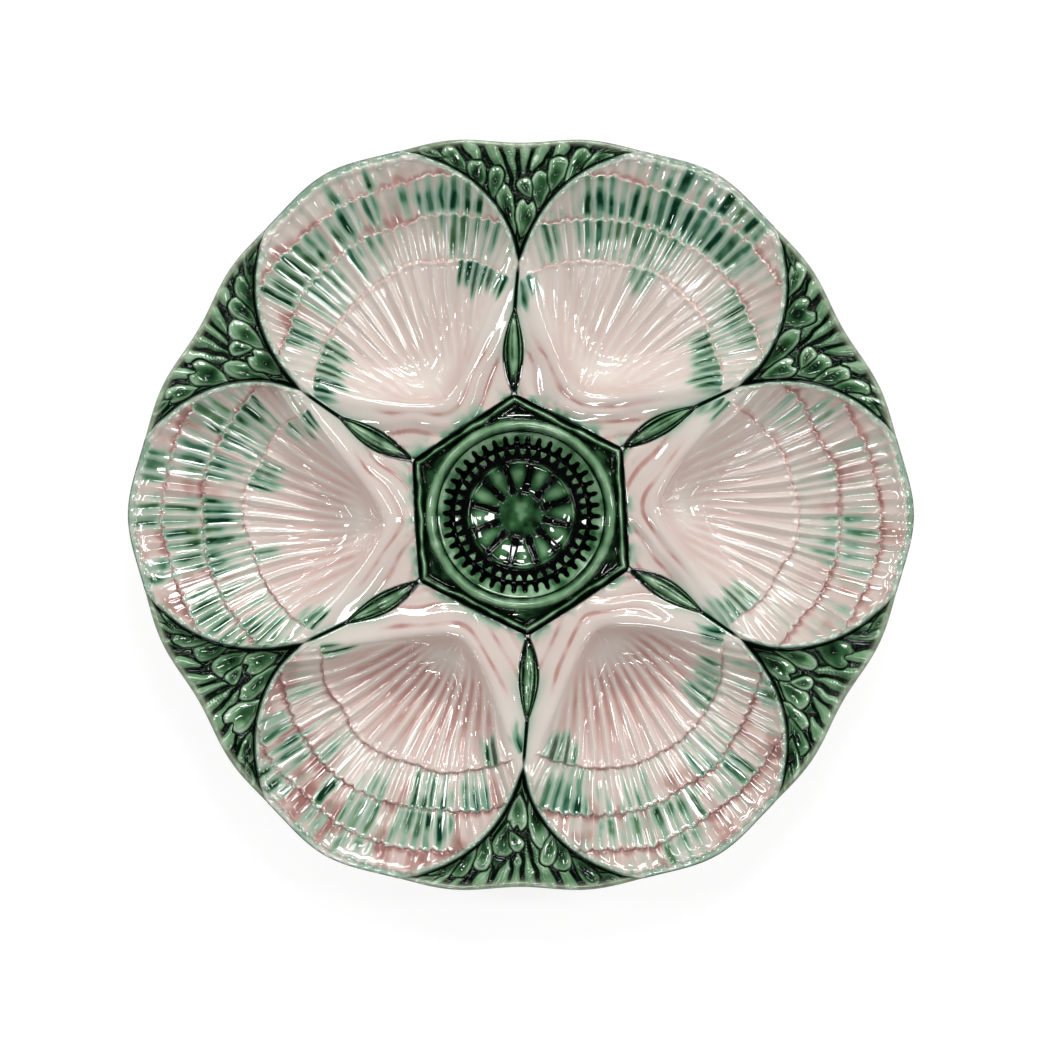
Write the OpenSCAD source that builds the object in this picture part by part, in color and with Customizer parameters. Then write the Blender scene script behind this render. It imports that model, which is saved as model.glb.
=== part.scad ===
// Oyster plate in glazed earthenware: six scallop wells round a sauce well,
// with a panel of seaweed between each two wells at the rim.
// Millimetres. The origin is the middle of the foot's underside, +Z is up,
// and +X runs through the first well.

/* [Plate] */
// Mean radius of the wavy rim
plate_r = 121.7; // [110:0.1:134]
// Swell of the rim at each well, past the mean radius
lobe_rise = 2.6; // [0:0.1:5]
// Swell of the small ripple that gives each notch its two shoulders
ripple_rise = 0.7; // [0:0.1:1.4]
// Thickness of the casting
wall_t = 4.5; // [3.5:0.1:6]
// Turn of the hub against the rim, in degrees
hub_twist = 3.2; // [-5:0.1:5]

/* [Foot] */
// Height of the foot ring
foot_h = 3; // [2:0.1:5]
// Distance of the foot ring's middle inside the place where two wells meet
foot_inset = 4.9; // [4.4:0.1:9]
// Width of the foot ring
foot_w = 5; // [3:0.1:6]
// Rounding of the foot ring's lower edges
foot_round = 0.8; // [0.4:0.1:1.2]
// Flat land on the back, either side of the foot ring
foot_land = 0.6; // [0.3:0.1:1]

/* [Wells] */
// Height of a well's lip above its floor, beside the hub
lip_h = 13; // [10:0.1:16]
// Further rise of the lip from the hub to the rim
tip_rise = 5.5; // [2:0.1:8]
// Depth that the rim cuts off the shell's round outline
rim_cut = 2; // [1:0.1:3]
// Depth that each seam cuts off the shell's round outline
seam_cut = 0.6; // [0.3:0.1:1]
// Width of the smooth flange between the hub and the beak
flange_w = 10.8; // [8:0.1:13]
// Drop of the flange from the beak's ridge to the hub
flange_drop = 2.5; // [1:0.1:4]
// Half angle of the V-shaped ridge round the beak, in degrees
vee_half = 52; // [48:1:56]
// Rounding of the ridge's point
vee_round = 6; // [3:0.1:9]
// Run of the steep wall from the ridge down to the floor
steep_run = 13; // [10:0.1:16]
// Height of each growth step across the shell
step_h = 0.8; // [0.4:0.1:1.2]
// Depth of the flutes that fan out from the beak
flute_h = 0.5; // [0.2:0.1:0.8]

/* [Hub] */
// Width of the collar from the rolled rim to the middle of each of the hexagon's sides
collar_w = 3; // [2.6:0.1:5]
// Width of the rolled rim of the sauce well
ring_w = 3.7; // [3:0.1:4.5]
// Height of the rolled rim above its seat
ring_h = 4; // [2.5:0.1:5]
// Drop of the rolled rim's seat below the inner edge of the wells' flanges
hub_drop = 1; // [0.5:0.1:2]
// Width of the hexagonal ridge
hex_ridge_w = 2; // [1.4:0.1:2.4]
// Height of the hexagonal ridge
hex_ridge_h = 2.4; // [1:0.1:3.5]
// Groove between the hexagonal ridge and the wells
hex_groove_w = 0.5; // [0.3:0.1:1]

/* [Sauce well] */
// Run of the underside's slope, inwards from below the rolled rim
cup_slope_w = 10.4; // [8:0.1:12]
// Width of the ring of teeth
tooth_w = 5.6; // [4.5:0.1:7]
// Height of the teeth's seat above the floor
tooth_seat_h = 4; // [3:0.1:5]
// Thickness of the ring of teeth at its inner edge
tooth_t = 1.8; // [1:0.1:3]
// Number of teeth
tooth_count = 42; // [24:1:48]
// Width of the slots between teeth
tooth_slot_w = 1.5; // [1:0.1:1.8]
// Width of the band that joins the teeth outside their slots
tooth_band_w = 2.1; // [1.4:0.1:3]
// Width of the ring of beads
bead_w = 2.9; // [2:0.1:4]
// Height of the beads' seat above the floor
bead_seat_h = 1.5; // [1:0.1:2]
// Thickness of the ring of beads at its inner edge
bead_t = 1.6; // [1:0.1:2.2]
// Number of beads
bead_count = 38; // [24:1:42]
// Diameter of the notches between beads
bead_notch_d = 1.6; // [1:0.1:2]
// Groove between the rosette and the beads
bead_gap = 0.5; // [0.3:0.1:1]
// Radius of the rosette
rosette_r = 17.7; // [15:0.1:20]
// Height of the petals above the floor
petal_h = 3.8; // [3:0.1:5]
// Radius of the rosette's flat eye
eye_r = 6.4; // [5:0.1:7.5]
// Height of the eye above the floor
eye_h = 2.6; // [2:0.1:3]
// Height of the rosette's edge above the floor
petal_edge_h = 2.4; // [1.6:0.1:3]
// Number of petals
petal_count = 12; // [8:1:14]
// Width of the slots between petals
petal_slot_w = 1.7; // [1:0.1:2.2]
// Solid left under the slots between petals
petal_slot_floor = 0.8; // [0.5:0.1:1.2]
// Rim left outside the slots between petals
petal_slot_rim = 1.4; // [1:0.1:2]
// Diameter of the sphere that dimples each petal
dimple_d = 5; // [4:0.1:6]
// Depth of each dimple
dimple_h = 0.6; // [0.3:0.1:1]

/* [Buds] */
// Greatest width of the bud between two wells
bud_w = 5.8; // [4:0.1:7]
// Height of the bud above the flanges beside it
bud_h = 1.3; // [0.6:0.1:2]

/* [Seaweed panels] */
// Drop of a panel's ground at its point, below the lip beside the hub
ground_in_drop = 2; // [1:0.1:4]
// Drop of a panel's ground at the rim, below the lip there
ground_out_drop = 2.5; // [1.5:0.1:4]
// Height of the band along the rim
band_h = 1.2; // [0.6:0.1:2]
// Height of the leaves above the ground
leaf_h = 2.2; // [1:0.1:3]
// Length that the leaves' lengths are shares of
leaf_l = 10; // [8:0.1:11]
// Width that the leaves' widths are shares of
leaf_w = 5; // [4:0.1:5.5]

/* [Hidden] */
$fn = 96;
overrun = 1;
well_count = 6;
half_pitch = 180 / well_count;
foot_side_step = 1;
twist_end_share = 0.78;

// Steps of the mesh along each stretch of a well's outline
hex_steps = 5;
bud_steps = 5;
seam_steps = 2;
arc_steps = 11;
rim_steps = 5;
panel_rim_steps = 12;
leaf_steps = 10;

// Rows of a well from its focus to its outline, as shares of the way out
inner_shares = [0.07, 0.15, 0.25, 0.38];
ring_shares = [0.54, 0.708, 0.859];
ring_limit_shares = [0.78, 0.87, 0.94];
ring_gap_share = 0.015;
edge_share = 0.975;
row_lift_shares = [0, 0, 0, 0, 1, 0, 1, 0, 1, 0, 0.4, 0];
row_flute_shares = [0, 0, 0.3, 0.8, 1, 0.6, 1, 0.6, 1, 0.6, 0.9, 0.5];
fan_fade_steps = 3;

// Shape of a well's section: the power of its rise, and its value at the deepest point
bowl_power = 1.8;
bowl_peak_share = 0.95;

// Leaves of a panel: place along its axis and across it, length, width, turn in degrees, notch.
// Along and across are shares of the panel's length and of its half width.
leaf_shares = [
    [0.39, -0.005, 1.00, 0.88, -8, 0],
    [0.46, 0.107, 1.26, 0.76, 13, 0],
    [0.64, -0.110, 1.02, 1.60, -2, 0.32],
    [0.74, 0.278, 0.98, 1.64, 10, 0.32],
    [0.76, -0.266, 0.84, 0.84, -16, 0],
    [0.83, -0.419, 0.90, 0.88, -34, 0],
    [0.86, 0.521, 0.94, 1.00, 48, 0],
    [0.87, -0.587, 0.88, 0.80, -57, 0],
    [0.92, 0.715, 0.64, 0.44, 70, 0],
    [0.92, -0.777, 0.60, 0.40, -72, 0],
    [0.80, 0.148, 1.20, 0.50, 22, 0],
    [0.81, 0.051, 1.10, 0.46, 4, 0],
    [0.84, -0.038, 0.84, 0.38, -12, 0],
    [0.90, -0.163, 0.52, 0.60, -30, 0]
];
leaf_point_power = 0.6;
leaf_shoulder_share = 0.72;
leaf_shoulder_h_share = 0.78;
leaf_seat_gap = 0.02;

cream = [0.87, 0.80, 0.75];
leaf_green = [0.30, 0.50, 0.34];
deep_green = [0.10, 0.26, 0.15];
ring_green = [0.36, 0.56, 0.40];

// Heights that the driving sizes add up to
floor_z = foot_h + wall_t;
lip_z = floor_z + lip_h;
ring_seat_z = lip_z - flange_drop - hub_drop;
tooth_seat_z = floor_z + tooth_seat_h;
bead_seat_z = floor_z + bead_seat_h;
hub_back_z = ring_seat_z - wall_t;
ground_in_z = lip_z - ground_in_drop;
ground_out_z = lip_z + tip_rise - ground_out_drop;
back_in_z = ground_in_z - wall_t;
back_out_z = lip_z + tip_rise - wall_t;

// Plan sizes that the driving sizes add up to
rim_tip_r = plate_r + lobe_rise + ripple_rise;
rim_notch_r = plate_r - lobe_rise - ripple_rise;
bead_in_r = rosette_r + bead_gap;
tooth_in_r = bead_in_r + bead_w;
ring_in_r = tooth_in_r + tooth_w;
ring_out_r = ring_in_r + ring_w;
cup_base_r = ring_out_r - cup_slope_w;
hex_flat_r = ring_out_r + collar_w;
hex_corner_r = hex_flat_r / cos(half_pitch);
shell_c = (rim_tip_r + rim_cut - seam_cut) / (1 + sin(half_pitch));
shell_r = shell_c * sin(half_pitch) + seam_cut;
focus_x = hex_flat_r + flange_w;
focus_to_c = shell_c - focus_x;
focus_to_rim = rim_tip_r - focus_x;
vee_x = focus_x - vee_round / tan(vee_half);
seam_mid_r = shell_c * cos(half_pitch);
seam_half_l = sqrt(shell_r * shell_r - pow(shell_c * sin(half_pitch), 2));
bud_end_r = seam_mid_r - seam_half_l;
seam_end_r = seam_mid_r + seam_half_l;
twist_end_r = plate_r * twist_end_share;
foot_r = bud_end_r - foot_inset;
foot_in_r = foot_r - foot_w / 2;
foot_out_r = foot_r + foot_w / 2;
land_in_r = foot_in_r - foot_land;
land_out_r = foot_out_r + foot_land;

// Helpers

function limited(t) = max(0, min(1, t));
function eased(t) = let (c = limited(t)) c * c * (3 - 2 * c);
function between(a, b, t) = a + (b - a) * t;
function polar(r, a) = [r * cos(a), r * sin(a)];
function angle_of(p) = atan2(p[1], p[0]);
function mirrored(p) = [p[0], -p[1]];
function turned(p, a) = [p[0] * cos(a) - p[1] * sin(a), p[0] * sin(a) + p[1] * cos(a)];
function raised(p, z) = [p[0], p[1], z];
function after_first(list) = [for (i = [1:1:len(list) - 1]) list[i]];
function joined(lists) = [for (list = lists) each list];

function sorted(list) =
    len(list) < 2 ? list :
    let (pivot = list[0], rest = after_first(list))
    concat(
        sorted([for (v = rest) if (v < pivot) v]),
        [pivot],
        sorted([for (v = rest) if (v >= pivot) v])
    );

// The hub stands a few degrees round from the rim, and the pieces between follow it smoothly
function twist_at(r) = hub_twist * (1 - eased((r - hex_corner_r) / (twist_end_r - hex_corner_r)));
function placed(p, turn) = turned(p, turn + twist_at(norm(p)));
function placed_at(p, z, turn) = raised(placed(p, turn), z);

// The rim, seen from above, at an angle from a well's axis
function rim_at(a) =
    plate_r + lobe_rise * cos(well_count * a) + ripple_rise * cos(3 * well_count * a);

// A well's round outline, seen from the plate's middle and from the well's focus
function round_at(a) = shell_c * cos(a) + sqrt(shell_r * shell_r - pow(shell_c * sin(a), 2));
function reach_at(psi) =
    focus_to_c * cos(psi) + sqrt(max(0, shell_r * shell_r - pow(focus_to_c * sin(psi), 2)));

// Angle at which the round outline passes inside the rim
function corner_angle(low, high, turns) =
    let (mid = (low + high) / 2)
    turns == 0 ? mid :
    round_at(mid) > rim_at(mid) ? corner_angle(mid, high, turns - 1) : corner_angle(low, mid, turns - 1);

corner_a = corner_angle(0, half_pitch * 2 / 3, 40);
corner_p = polar(rim_at(corner_a), corner_a);
corner_psi = angle_of(corner_p - [focus_x, 0]);
seam_psi = angle_of(polar(seam_end_r, half_pitch) - [focus_x, 0]);

// Point on the rim in a given direction from the focus
function rim_from_focus(psi, low, high, turns) =
    let (mid = (low + high) / 2, p = [focus_x, 0] + polar(mid, psi))
    turns == 0 ? p :
    norm(p) > rim_at(angle_of(p)) ?
        rim_from_focus(psi, low, mid, turns - 1) : rim_from_focus(psi, mid, high, turns - 1);

// Heights of the top and of the back

function lip_at(p) = lip_z + tip_rise * (norm(p) - focus_x) / focus_to_rim;

// Distance inside the ridge that runs round the beak
function inside_ridge(p) =
    (p[0] - vee_x) * sin(vee_half) - sqrt(p[1] * p[1] + vee_round * vee_round) * cos(vee_half);

function bowl_at(p) =
    let (
        q = p - [focus_x, 0],
        far = reach_at(angle_of(q)),
        share = limited(norm(q) / max(far, flange_w)),
        wall = 1 - pow(1 - limited(inside_ridge(p) / steep_run), 2)
    )
    min(1, wall * (1 - pow(share, bowl_power)) / bowl_peak_share);

function top_at(p) =
    lip_at(p) - (lip_at(p) - floor_z) * bowl_at(p)
    - flange_drop * eased(-inside_ridge(p) / flange_w);

function back_dish(r) =
    between(back_in_z, back_out_z, limited((r - seam_end_r) / (rim_tip_r - seam_end_r)));

function back_at(p) =
    let (r = norm(p))
    r > land_in_r - overrun / 100 && r < land_out_r + overrun / 100 ? foot_h :
    max(foot_h, min(back_dish(r), top_at(p) - wall_t));

// The outline of a well, from the middle of its hub side to its tip, on the +Y side

side_rs = sorted(concat(
    [for (i = [0:bud_steps]) between(hex_corner_r, bud_end_r, i / bud_steps)],
    [for (i = [1:seam_steps]) between(bud_end_r, seam_end_r, i / seam_steps)],
    [land_in_r - foot_side_step, land_in_r, land_out_r, land_out_r + foot_side_step]
));
bud_rs = [for (r = side_rs) if (r < bud_end_r + overrun / 100) r];

function bud_half_w(r) =
    r >= bud_end_r ? 0 :
    bud_w / 2 * sin(180 * limited((r - hex_corner_r) / (bud_end_r - hex_corner_r)));
function side_point(r) = polar(r, half_pitch - asin(bud_half_w(r) / r));

hex_half = [for (i = [0:hex_steps]) [hex_flat_r, hex_flat_r * tan(half_pitch) * i / hex_steps]];
side_half = [for (r = side_rs) side_point(r)];
arc_half = [
    for (i = [0:arc_steps])
        let (psi = between(seam_psi, corner_psi, i / arc_steps))
        i == 0 ? polar(seam_end_r, half_pitch) :
        i == arc_steps ? corner_p :
        [focus_x, 0] + polar(reach_at(psi), psi)
];
rim_half = [
    for (i = [0:rim_steps])
        i == 0 ? corner_p :
        i == rim_steps ? [rim_tip_r, 0] :
        rim_from_focus(corner_psi * (1 - i / rim_steps), 0, plate_r, 40)
];
half_outline = joined([hex_half, after_first(side_half), after_first(arc_half), after_first(rim_half)]);

half_n = len(half_outline) - 1;
loop_n = 2 * half_n;
hub_row = hex_steps;
fan_start = hub_row + len(side_rs) - 1;
corner_row = half_n - rim_steps;
outline = concat(half_outline, [for (i = [half_n + 1:loop_n - 1]) mirrored(half_outline[loop_n - i])]);

// The top of a well: rows about the focus, with flutes and growth steps

top_rows = len(row_lift_shares);

function ring_share(i, far) = min(ring_limit_shares[i], ring_shares[i] * focus_to_rim / far);
function row_share(row, far) =
    row < 4 ? inner_shares[row] :
    row == 4 ? ring_share(0, far) :
    row == 5 ? ring_share(0, far) + ring_gap_share :
    row == 6 ? ring_share(1, far) :
    row == 7 ? ring_share(1, far) + ring_gap_share :
    row == 8 ? ring_share(2, far) :
    row == 9 ? ring_share(2, far) + ring_gap_share :
    row == 10 ? edge_share : 1;

function fan_step(j) = (j > half_n ? loop_n - j : j) - fan_start;
function fan_fade(j) = eased(fan_step(j) / fan_fade_steps);
function flute_sign(j) = fan_step(j) % 2 == 0 ? 1 : -1;

function top_point(row, j) =
    let (
        q = outline[j] - [focus_x, 0],
        p = [focus_x, 0] + q * row_share(row, norm(q)),
        relief = step_h * row_lift_shares[row] + flute_h * row_flute_shares[row] * flute_sign(j)
    )
    raised(p, top_at(p) + relief * fan_fade(j));

function quad(a, b, c, d) = [[a, b, c], [a, c, d]];

module shell_well(index) {
    turn = (index - 1) * 2 * half_pitch;
    pole = top_rows * loop_n;
    back_start = pole + 1;
    ladder_start = back_start + loop_n;
    ladder_n = 2 * hex_steps;

    tops = [for (row = [0:top_rows - 1]) for (j = [0:loop_n - 1]) top_point(row, j)];
    backs = [for (p = outline) raised(p, back_at(p))];
    ladder = [
        for (row = [hub_row + 1:corner_row - 1]) for (m = [1:ladder_n - 1])
            let (
                end = outline[row],
                p = polar(norm(end), angle_of(end) * (1 - 2 * m / ladder_n))
            )
            raised(p, back_at(p))
    ];
    points = joined([tops, [[focus_x, 0, top_at([focus_x, 0])]], backs, ladder]);

    function ladder_index(row, m) =
        row == hub_row ? back_start + (hub_row - m + loop_n) % loop_n :
        row == corner_row ? back_start + corner_row + m :
        m == 0 ? back_start + row :
        m == ladder_n ? back_start + loop_n - row :
        ladder_start + (row - hub_row - 1) * (ladder_n - 1) + m - 1;

    pole_faces = [for (j = [0:loop_n - 1]) [pole, j, (j + 1) % loop_n]];
    top_faces = [
        for (row = [0:top_rows - 2]) for (j = [0:loop_n - 1])
            let (a = row * loop_n, b = a + loop_n, k = (j + 1) % loop_n)
            each quad(a + j, b + j, b + k, a + k)
    ];
    edge_start = (top_rows - 1) * loop_n;
    side_faces = [
        for (j = [0:loop_n - 1])
            let (k = (j + 1) % loop_n)
            each quad(edge_start + j, back_start + j, back_start + k, edge_start + k)
    ];
    back_faces = [
        for (row = [hub_row:corner_row - 1]) for (m = [0:ladder_n - 1])
            each quad(
                ladder_index(row, m), ladder_index(row, m + 1),
                ladder_index(row + 1, m + 1), ladder_index(row + 1, m)
            )
    ];

    color(cream)
        polyhedron(
            points = [for (p = points) placed_at(p, p[2], turn)],
            faces = joined([pole_faces, top_faces, side_faces, back_faces]),
            convexity = 10
        );
}

// The bud between two wells: pointed at both ends, with a raised middle line

module bud_divider(index) {
    turn = (2 * index - 1) * half_pitch;
    last = len(bud_rs) - 1;
    row_n = 5;
    rows = [
        for (i = [0:last])
            let (
                r = bud_rs[i],
                p = side_point(r),
                side = turned(p, -half_pitch),
                edge_z = top_at(p),
                back_z = back_at(p),
                swell = bud_h * sin(180 * i / last)
            )
            [
                raised(mirrored(side), edge_z),
                [r, 0, edge_z + swell],
                raised(side, edge_z),
                raised(side, back_z),
                raised(mirrored(side), back_z)
            ]
    ];
    inner = [for (i = [1:last - 1]) each rows[i]];
    near_top = len(inner);
    ends = [rows[0][1], [rows[0][1][0], 0, rows[0][3][2]], rows[last][1], [rows[last][1][0], 0, rows[last][3][2]]];
    near_back = near_top + 1;
    far_top = near_top + 2;
    far_back = near_top + 3;
    tail = near_top - row_n;

    body_faces = [
        for (i = [0:last - 3]) for (m = [0:row_n - 1])
            let (a = i * row_n, b = a + row_n, n = (m + 1) % row_n)
            each quad(a + m, b + m, b + n, a + n)
    ];
    near_faces = [
        [near_top, 0, 1], [near_top, 1, 2],
        [near_top, 2, 3], [near_top, 3, near_back],
        [near_back, 3, 4],
        [near_back, 4, 0], [near_back, 0, near_top]
    ];
    far_faces = [
        [far_top, tail + 1, tail], [far_top, tail + 2, tail + 1],
        [far_top, tail + 3, tail + 2], [far_top, far_back, tail + 3],
        [far_back, tail + 4, tail + 3],
        [far_back, tail, tail + 4], [far_back, far_top, tail]
    ];

    color(ring_green)
        polyhedron(
            points = [for (p = concat(inner, ends)) placed_at(p, p[2], turn)],
            faces = joined([body_faces, near_faces, far_faces]),
            convexity = 6
        );
}

// The panel between two wells at the rim: a sloping ground with a raised band along the rim

panel_tip_x = seam_end_r;
panel_len = rim_notch_r - panel_tip_x;
function ground_plane(x) =
    between(ground_in_z, ground_out_z, (x - panel_tip_x) / panel_len);
function back_plane(x) = between(back_in_z, back_out_z, (x - panel_tip_x) / (rim_tip_r - panel_tip_x));

panel_side = [for (p = arc_half) turned(p, -half_pitch)];
panel_corner_a = half_pitch - corner_a;
panel_half_w = corner_p[0] * sin(half_pitch) - corner_p[1] * cos(half_pitch);
band_w = norm(corner_p) - norm(arc_half[arc_steps - 1]);
panel_rim = [
    for (i = [1:panel_rim_steps - 1])
        let (a = between(-panel_corner_a, panel_corner_a, i / panel_rim_steps))
        polar(rim_at(a + half_pitch), a)
];
panel_band = [for (p = panel_rim) p * (1 - band_w / norm(p))];

module rim_panel(index) {
    turn = (2 * index - 1) * half_pitch;
    side_n = arc_steps;
    band_n = len(panel_band);

    // Grounds: point, right side, inner line of the band, left side
    ground_loop = joined([
        [for (i = [0:side_n - 1]) panel_side[i]],
        panel_band,
        [for (i = [side_n - 1:-1:1]) mirrored(panel_side[i])]
    ]);
    ground_n = len(ground_loop);
    right_end = side_n - 1;
    left_end = right_end + band_n + 1;

    // Band: outer line from right corner to left corner
    outer_line = joined([[panel_side[side_n]], panel_rim, [mirrored(panel_side[side_n])]]);
    outer_n = len(outer_line);

    grounds = [for (p = ground_loop) placed_at(p, ground_plane(p[0]), turn)];
    bands = [
        for (i = [right_end:left_end])
            let (p = ground_loop[i])
            placed_at(p, ground_plane(p[0]) + band_h, turn)
    ];
    outers = [for (p = outer_line) placed_at(p, ground_plane(p[0]) + band_h, turn)];
    under_sides = [
        for (i = [left_end - ground_n:right_end])
            let (p = ground_loop[(i + ground_n) % ground_n])
            placed_at(p, back_plane(p[0]), turn)
    ];
    under_outers = [for (p = outer_line) placed_at(p, back_plane(p[0]), turn)];

    band_start = ground_n;
    outer_start = band_start + len(bands);
    under_start = outer_start + outer_n;
    under_n = len(under_sides);
    under_outer_start = under_start + under_n;

    ground_face = [for (i = [ground_n - 1:-1:0]) i];
    step_faces = [
        for (i = [0:band_n])
            each quad(right_end + i, right_end + i + 1, band_start + i + 1, band_start + i)
    ];
    band_faces = [
        for (i = [0:band_n])
            each quad(band_start + i, band_start + i + 1, outer_start + i + 1, outer_start + i)
    ];
    rim_faces = [
        for (i = [0:outer_n - 2])
            each quad(outer_start + i, outer_start + i + 1, under_outer_start + i + 1, under_outer_start + i)
    ];
    under_face = [for (i = [0:under_n + outer_n - 1]) under_start + i];
    side_faces = [
        for (i = [0:under_n - 2])
            let (
                a = (left_end - ground_n + i + ground_n) % ground_n,
                b = (a + 1) % ground_n
            )
            each quad(a, b, under_start + i + 1, under_start + i)
    ];
    right_wall = [band_start, outer_start, under_outer_start, under_start + under_n - 1, right_end];
    left_wall = [
        outer_start + outer_n - 1, band_start + band_n + 1, left_end,
        under_start, under_outer_start + outer_n - 1
    ];

    color(deep_green)
        polyhedron(
            points = joined([grounds, bands, outers, under_sides, under_outers]),
            faces = joined([
                [ground_face], step_faces, band_faces, rim_faces,
                [under_face], side_faces, [right_wall], [left_wall]
            ]),
            convexity = 10
        );
}

// Leaves: low domes, pointed towards the panel's point, some notched at the far end

function leaf_outline(length, width, notch) = [
    for (i = [0:leaf_steps - 1])
        let (a = 360 * i / leaf_steps)
        [
            length / 2 * (cos(a) - notch * pow(max(0, cos(a)), 6)),
            width / 2 * sin(a) * pow((1 + cos(a)) / 2 + ring_gap_share, leaf_point_power / 2)
        ]
];

module leaf(shares, turn) {
    middle = [panel_tip_x + shares[0] * panel_len, shares[1] * panel_half_w];
    flat = leaf_outline(leaf_l * shares[2], leaf_w * shares[3], shares[5]);
    base = [for (p = flat) middle + turned(p, shares[4])];
    shoulder = [for (p = flat) middle + turned(p * leaf_shoulder_share, shares[4])];
    top = 2 * leaf_steps;
    points = joined([
        [for (p = base) placed_at(p, ground_plane(p[0]) + leaf_seat_gap, turn)],
        [for (p = shoulder) placed_at(p, ground_plane(p[0]) + leaf_h * leaf_shoulder_h_share, turn)],
        [placed_at(middle, ground_plane(middle[0]) + leaf_h, turn)]
    ]);
    side_faces = [
        for (i = [0:leaf_steps - 1])
            let (k = (i + 1) % leaf_steps)
            each quad(i, leaf_steps + i, leaf_steps + k, k)
    ];
    top_faces = [for (i = [0:leaf_steps - 1]) [leaf_steps + i, top, leaf_steps + (i + 1) % leaf_steps]];
    polyhedron(
        points = points,
        faces = joined([[[for (i = [0:leaf_steps - 1]) i]], side_faces, top_faces]),
        convexity = 4
    );
}

module seaweed_sprig(index) {
    turn = (2 * index - 1) * half_pitch;
    color(leaf_green)
        for (shares = leaf_shares)
            leaf(shares, turn);
}

// The hub

module foot_ring() {
    color(cream)
        rotate_extrude()
            polygon([
                [foot_in_r + foot_round, 0],
                [foot_out_r - foot_round, 0],
                [foot_out_r, foot_round],
                [foot_out_r, foot_h],
                [foot_in_r, foot_h],
                [foot_in_r, foot_round]
            ]);
}

module sauce_well() {
    color(deep_green)
        rotate_extrude()
            polygon([
                [0, foot_h],
                [cup_base_r, foot_h],
                [ring_out_r, hub_back_z],
                [ring_out_r, ring_seat_z],
                [ring_in_r, ring_seat_z],
                [ring_in_r, tooth_seat_z],
                [tooth_in_r, tooth_seat_z],
                [tooth_in_r, bead_seat_z],
                [bead_in_r, bead_seat_z],
                [bead_in_r, floor_z],
                [0, floor_z]
            ]);
}

module sauce_well_rim() {
    half_w = (ring_out_r - ring_in_r) / 2;
    straight_h = ring_h - half_w;
    color(ring_green)
        translate([0, 0, ring_seat_z])
            rotate_extrude()
                translate([ring_in_r + half_w, 0])
                    intersection() {
                        union() {
                            translate([-half_w, 0]) square([2 * half_w, straight_h]);
                            translate([0, straight_h]) circle(half_w);
                        }
                        translate([-half_w, 0]) square([2 * half_w, ring_h]);
                    }
}

module tooth_ring() {
    color(leaf_green)
        rotate(hub_twist)
            difference() {
                translate([0, 0, tooth_seat_z])
                    rotate_extrude()
                        polygon([
                            [tooth_in_r, 0],
                            [ring_in_r, 0],
                            [ring_in_r, ring_seat_z - tooth_seat_z],
                            [tooth_in_r, tooth_t]
                        ]);
                for (i = [0:tooth_count - 1])
                    rotate(i * 360 / tooth_count)
                        translate([tooth_in_r - overrun, -tooth_slot_w / 2, tooth_seat_z - overrun])
                            cube([tooth_w - tooth_band_w + overrun, tooth_slot_w, ring_seat_z]);
            }
}

module bead_ring() {
    color(leaf_green)
        rotate(hub_twist)
            difference() {
                translate([0, 0, bead_seat_z])
                    rotate_extrude()
                        polygon([
                            [bead_in_r, 0],
                            [tooth_in_r, 0],
                            [tooth_in_r, tooth_seat_z - bead_seat_z],
                            [bead_in_r, bead_t]
                        ]);
                for (i = [0:bead_count - 1])
                    rotate(i * 360 / bead_count)
                        translate([bead_in_r, 0, bead_seat_z - overrun])
                            cylinder(d = bead_notch_d, h = ring_seat_z);
            }
}

module rosette() {
    petal_mid_r = (eye_r + rosette_r) / 2;
    dimple_r = rosette_r - petal_slot_rim - dimple_d / 2;
    slot_l = rosette_r - petal_slot_rim - eye_r;
    color(deep_green)
        rotate(hub_twist + 180 / petal_count)
            translate([0, 0, floor_z])
                difference() {
                    rotate_extrude()
                        polygon([
                            [0, 0],
                            [rosette_r, 0],
                            [rosette_r, petal_edge_h],
                            [petal_mid_r, petal_h],
                            [eye_r, eye_h],
                            [0, eye_h]
                        ]);
                    for (i = [0:petal_count - 1])
                        rotate(i * 360 / petal_count)
                            translate([eye_r, -petal_slot_w / 2, petal_slot_floor])
                                cube([slot_l, petal_slot_w, petal_h]);
                    for (i = [0:petal_count - 1])
                        rotate((i + 1 / 2) * 360 / petal_count)
                            translate([dimple_r, 0, petal_h + dimple_d / 2 - 2 * dimple_h])
                                sphere(d = dimple_d);
                }
}

module hexagon(flat_r, height) {
    linear_extrude(height)
        polygon([for (i = [0:5]) polar(flat_r / cos(half_pitch), (2 * i + 1) * half_pitch)]);
}

module hex_collar() {
    ridge_out_r = hex_flat_r - hex_groove_w;
    ridge_in_r = ridge_out_r - hex_ridge_w;
    color(leaf_green)
        rotate(hub_twist)
            difference() {
                union() {
                    translate([0, 0, hub_back_z]) hexagon(hex_flat_r, wall_t);
                    difference() {
                        translate([0, 0, hub_back_z]) hexagon(ridge_out_r, wall_t + hex_ridge_h);
                        translate([0, 0, ring_seat_z]) hexagon(ridge_in_r, hex_ridge_h + overrun);
                    }
                }
                cylinder(r = ring_out_r, h = ring_seat_z + hex_ridge_h + overrun);
            }
}

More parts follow.
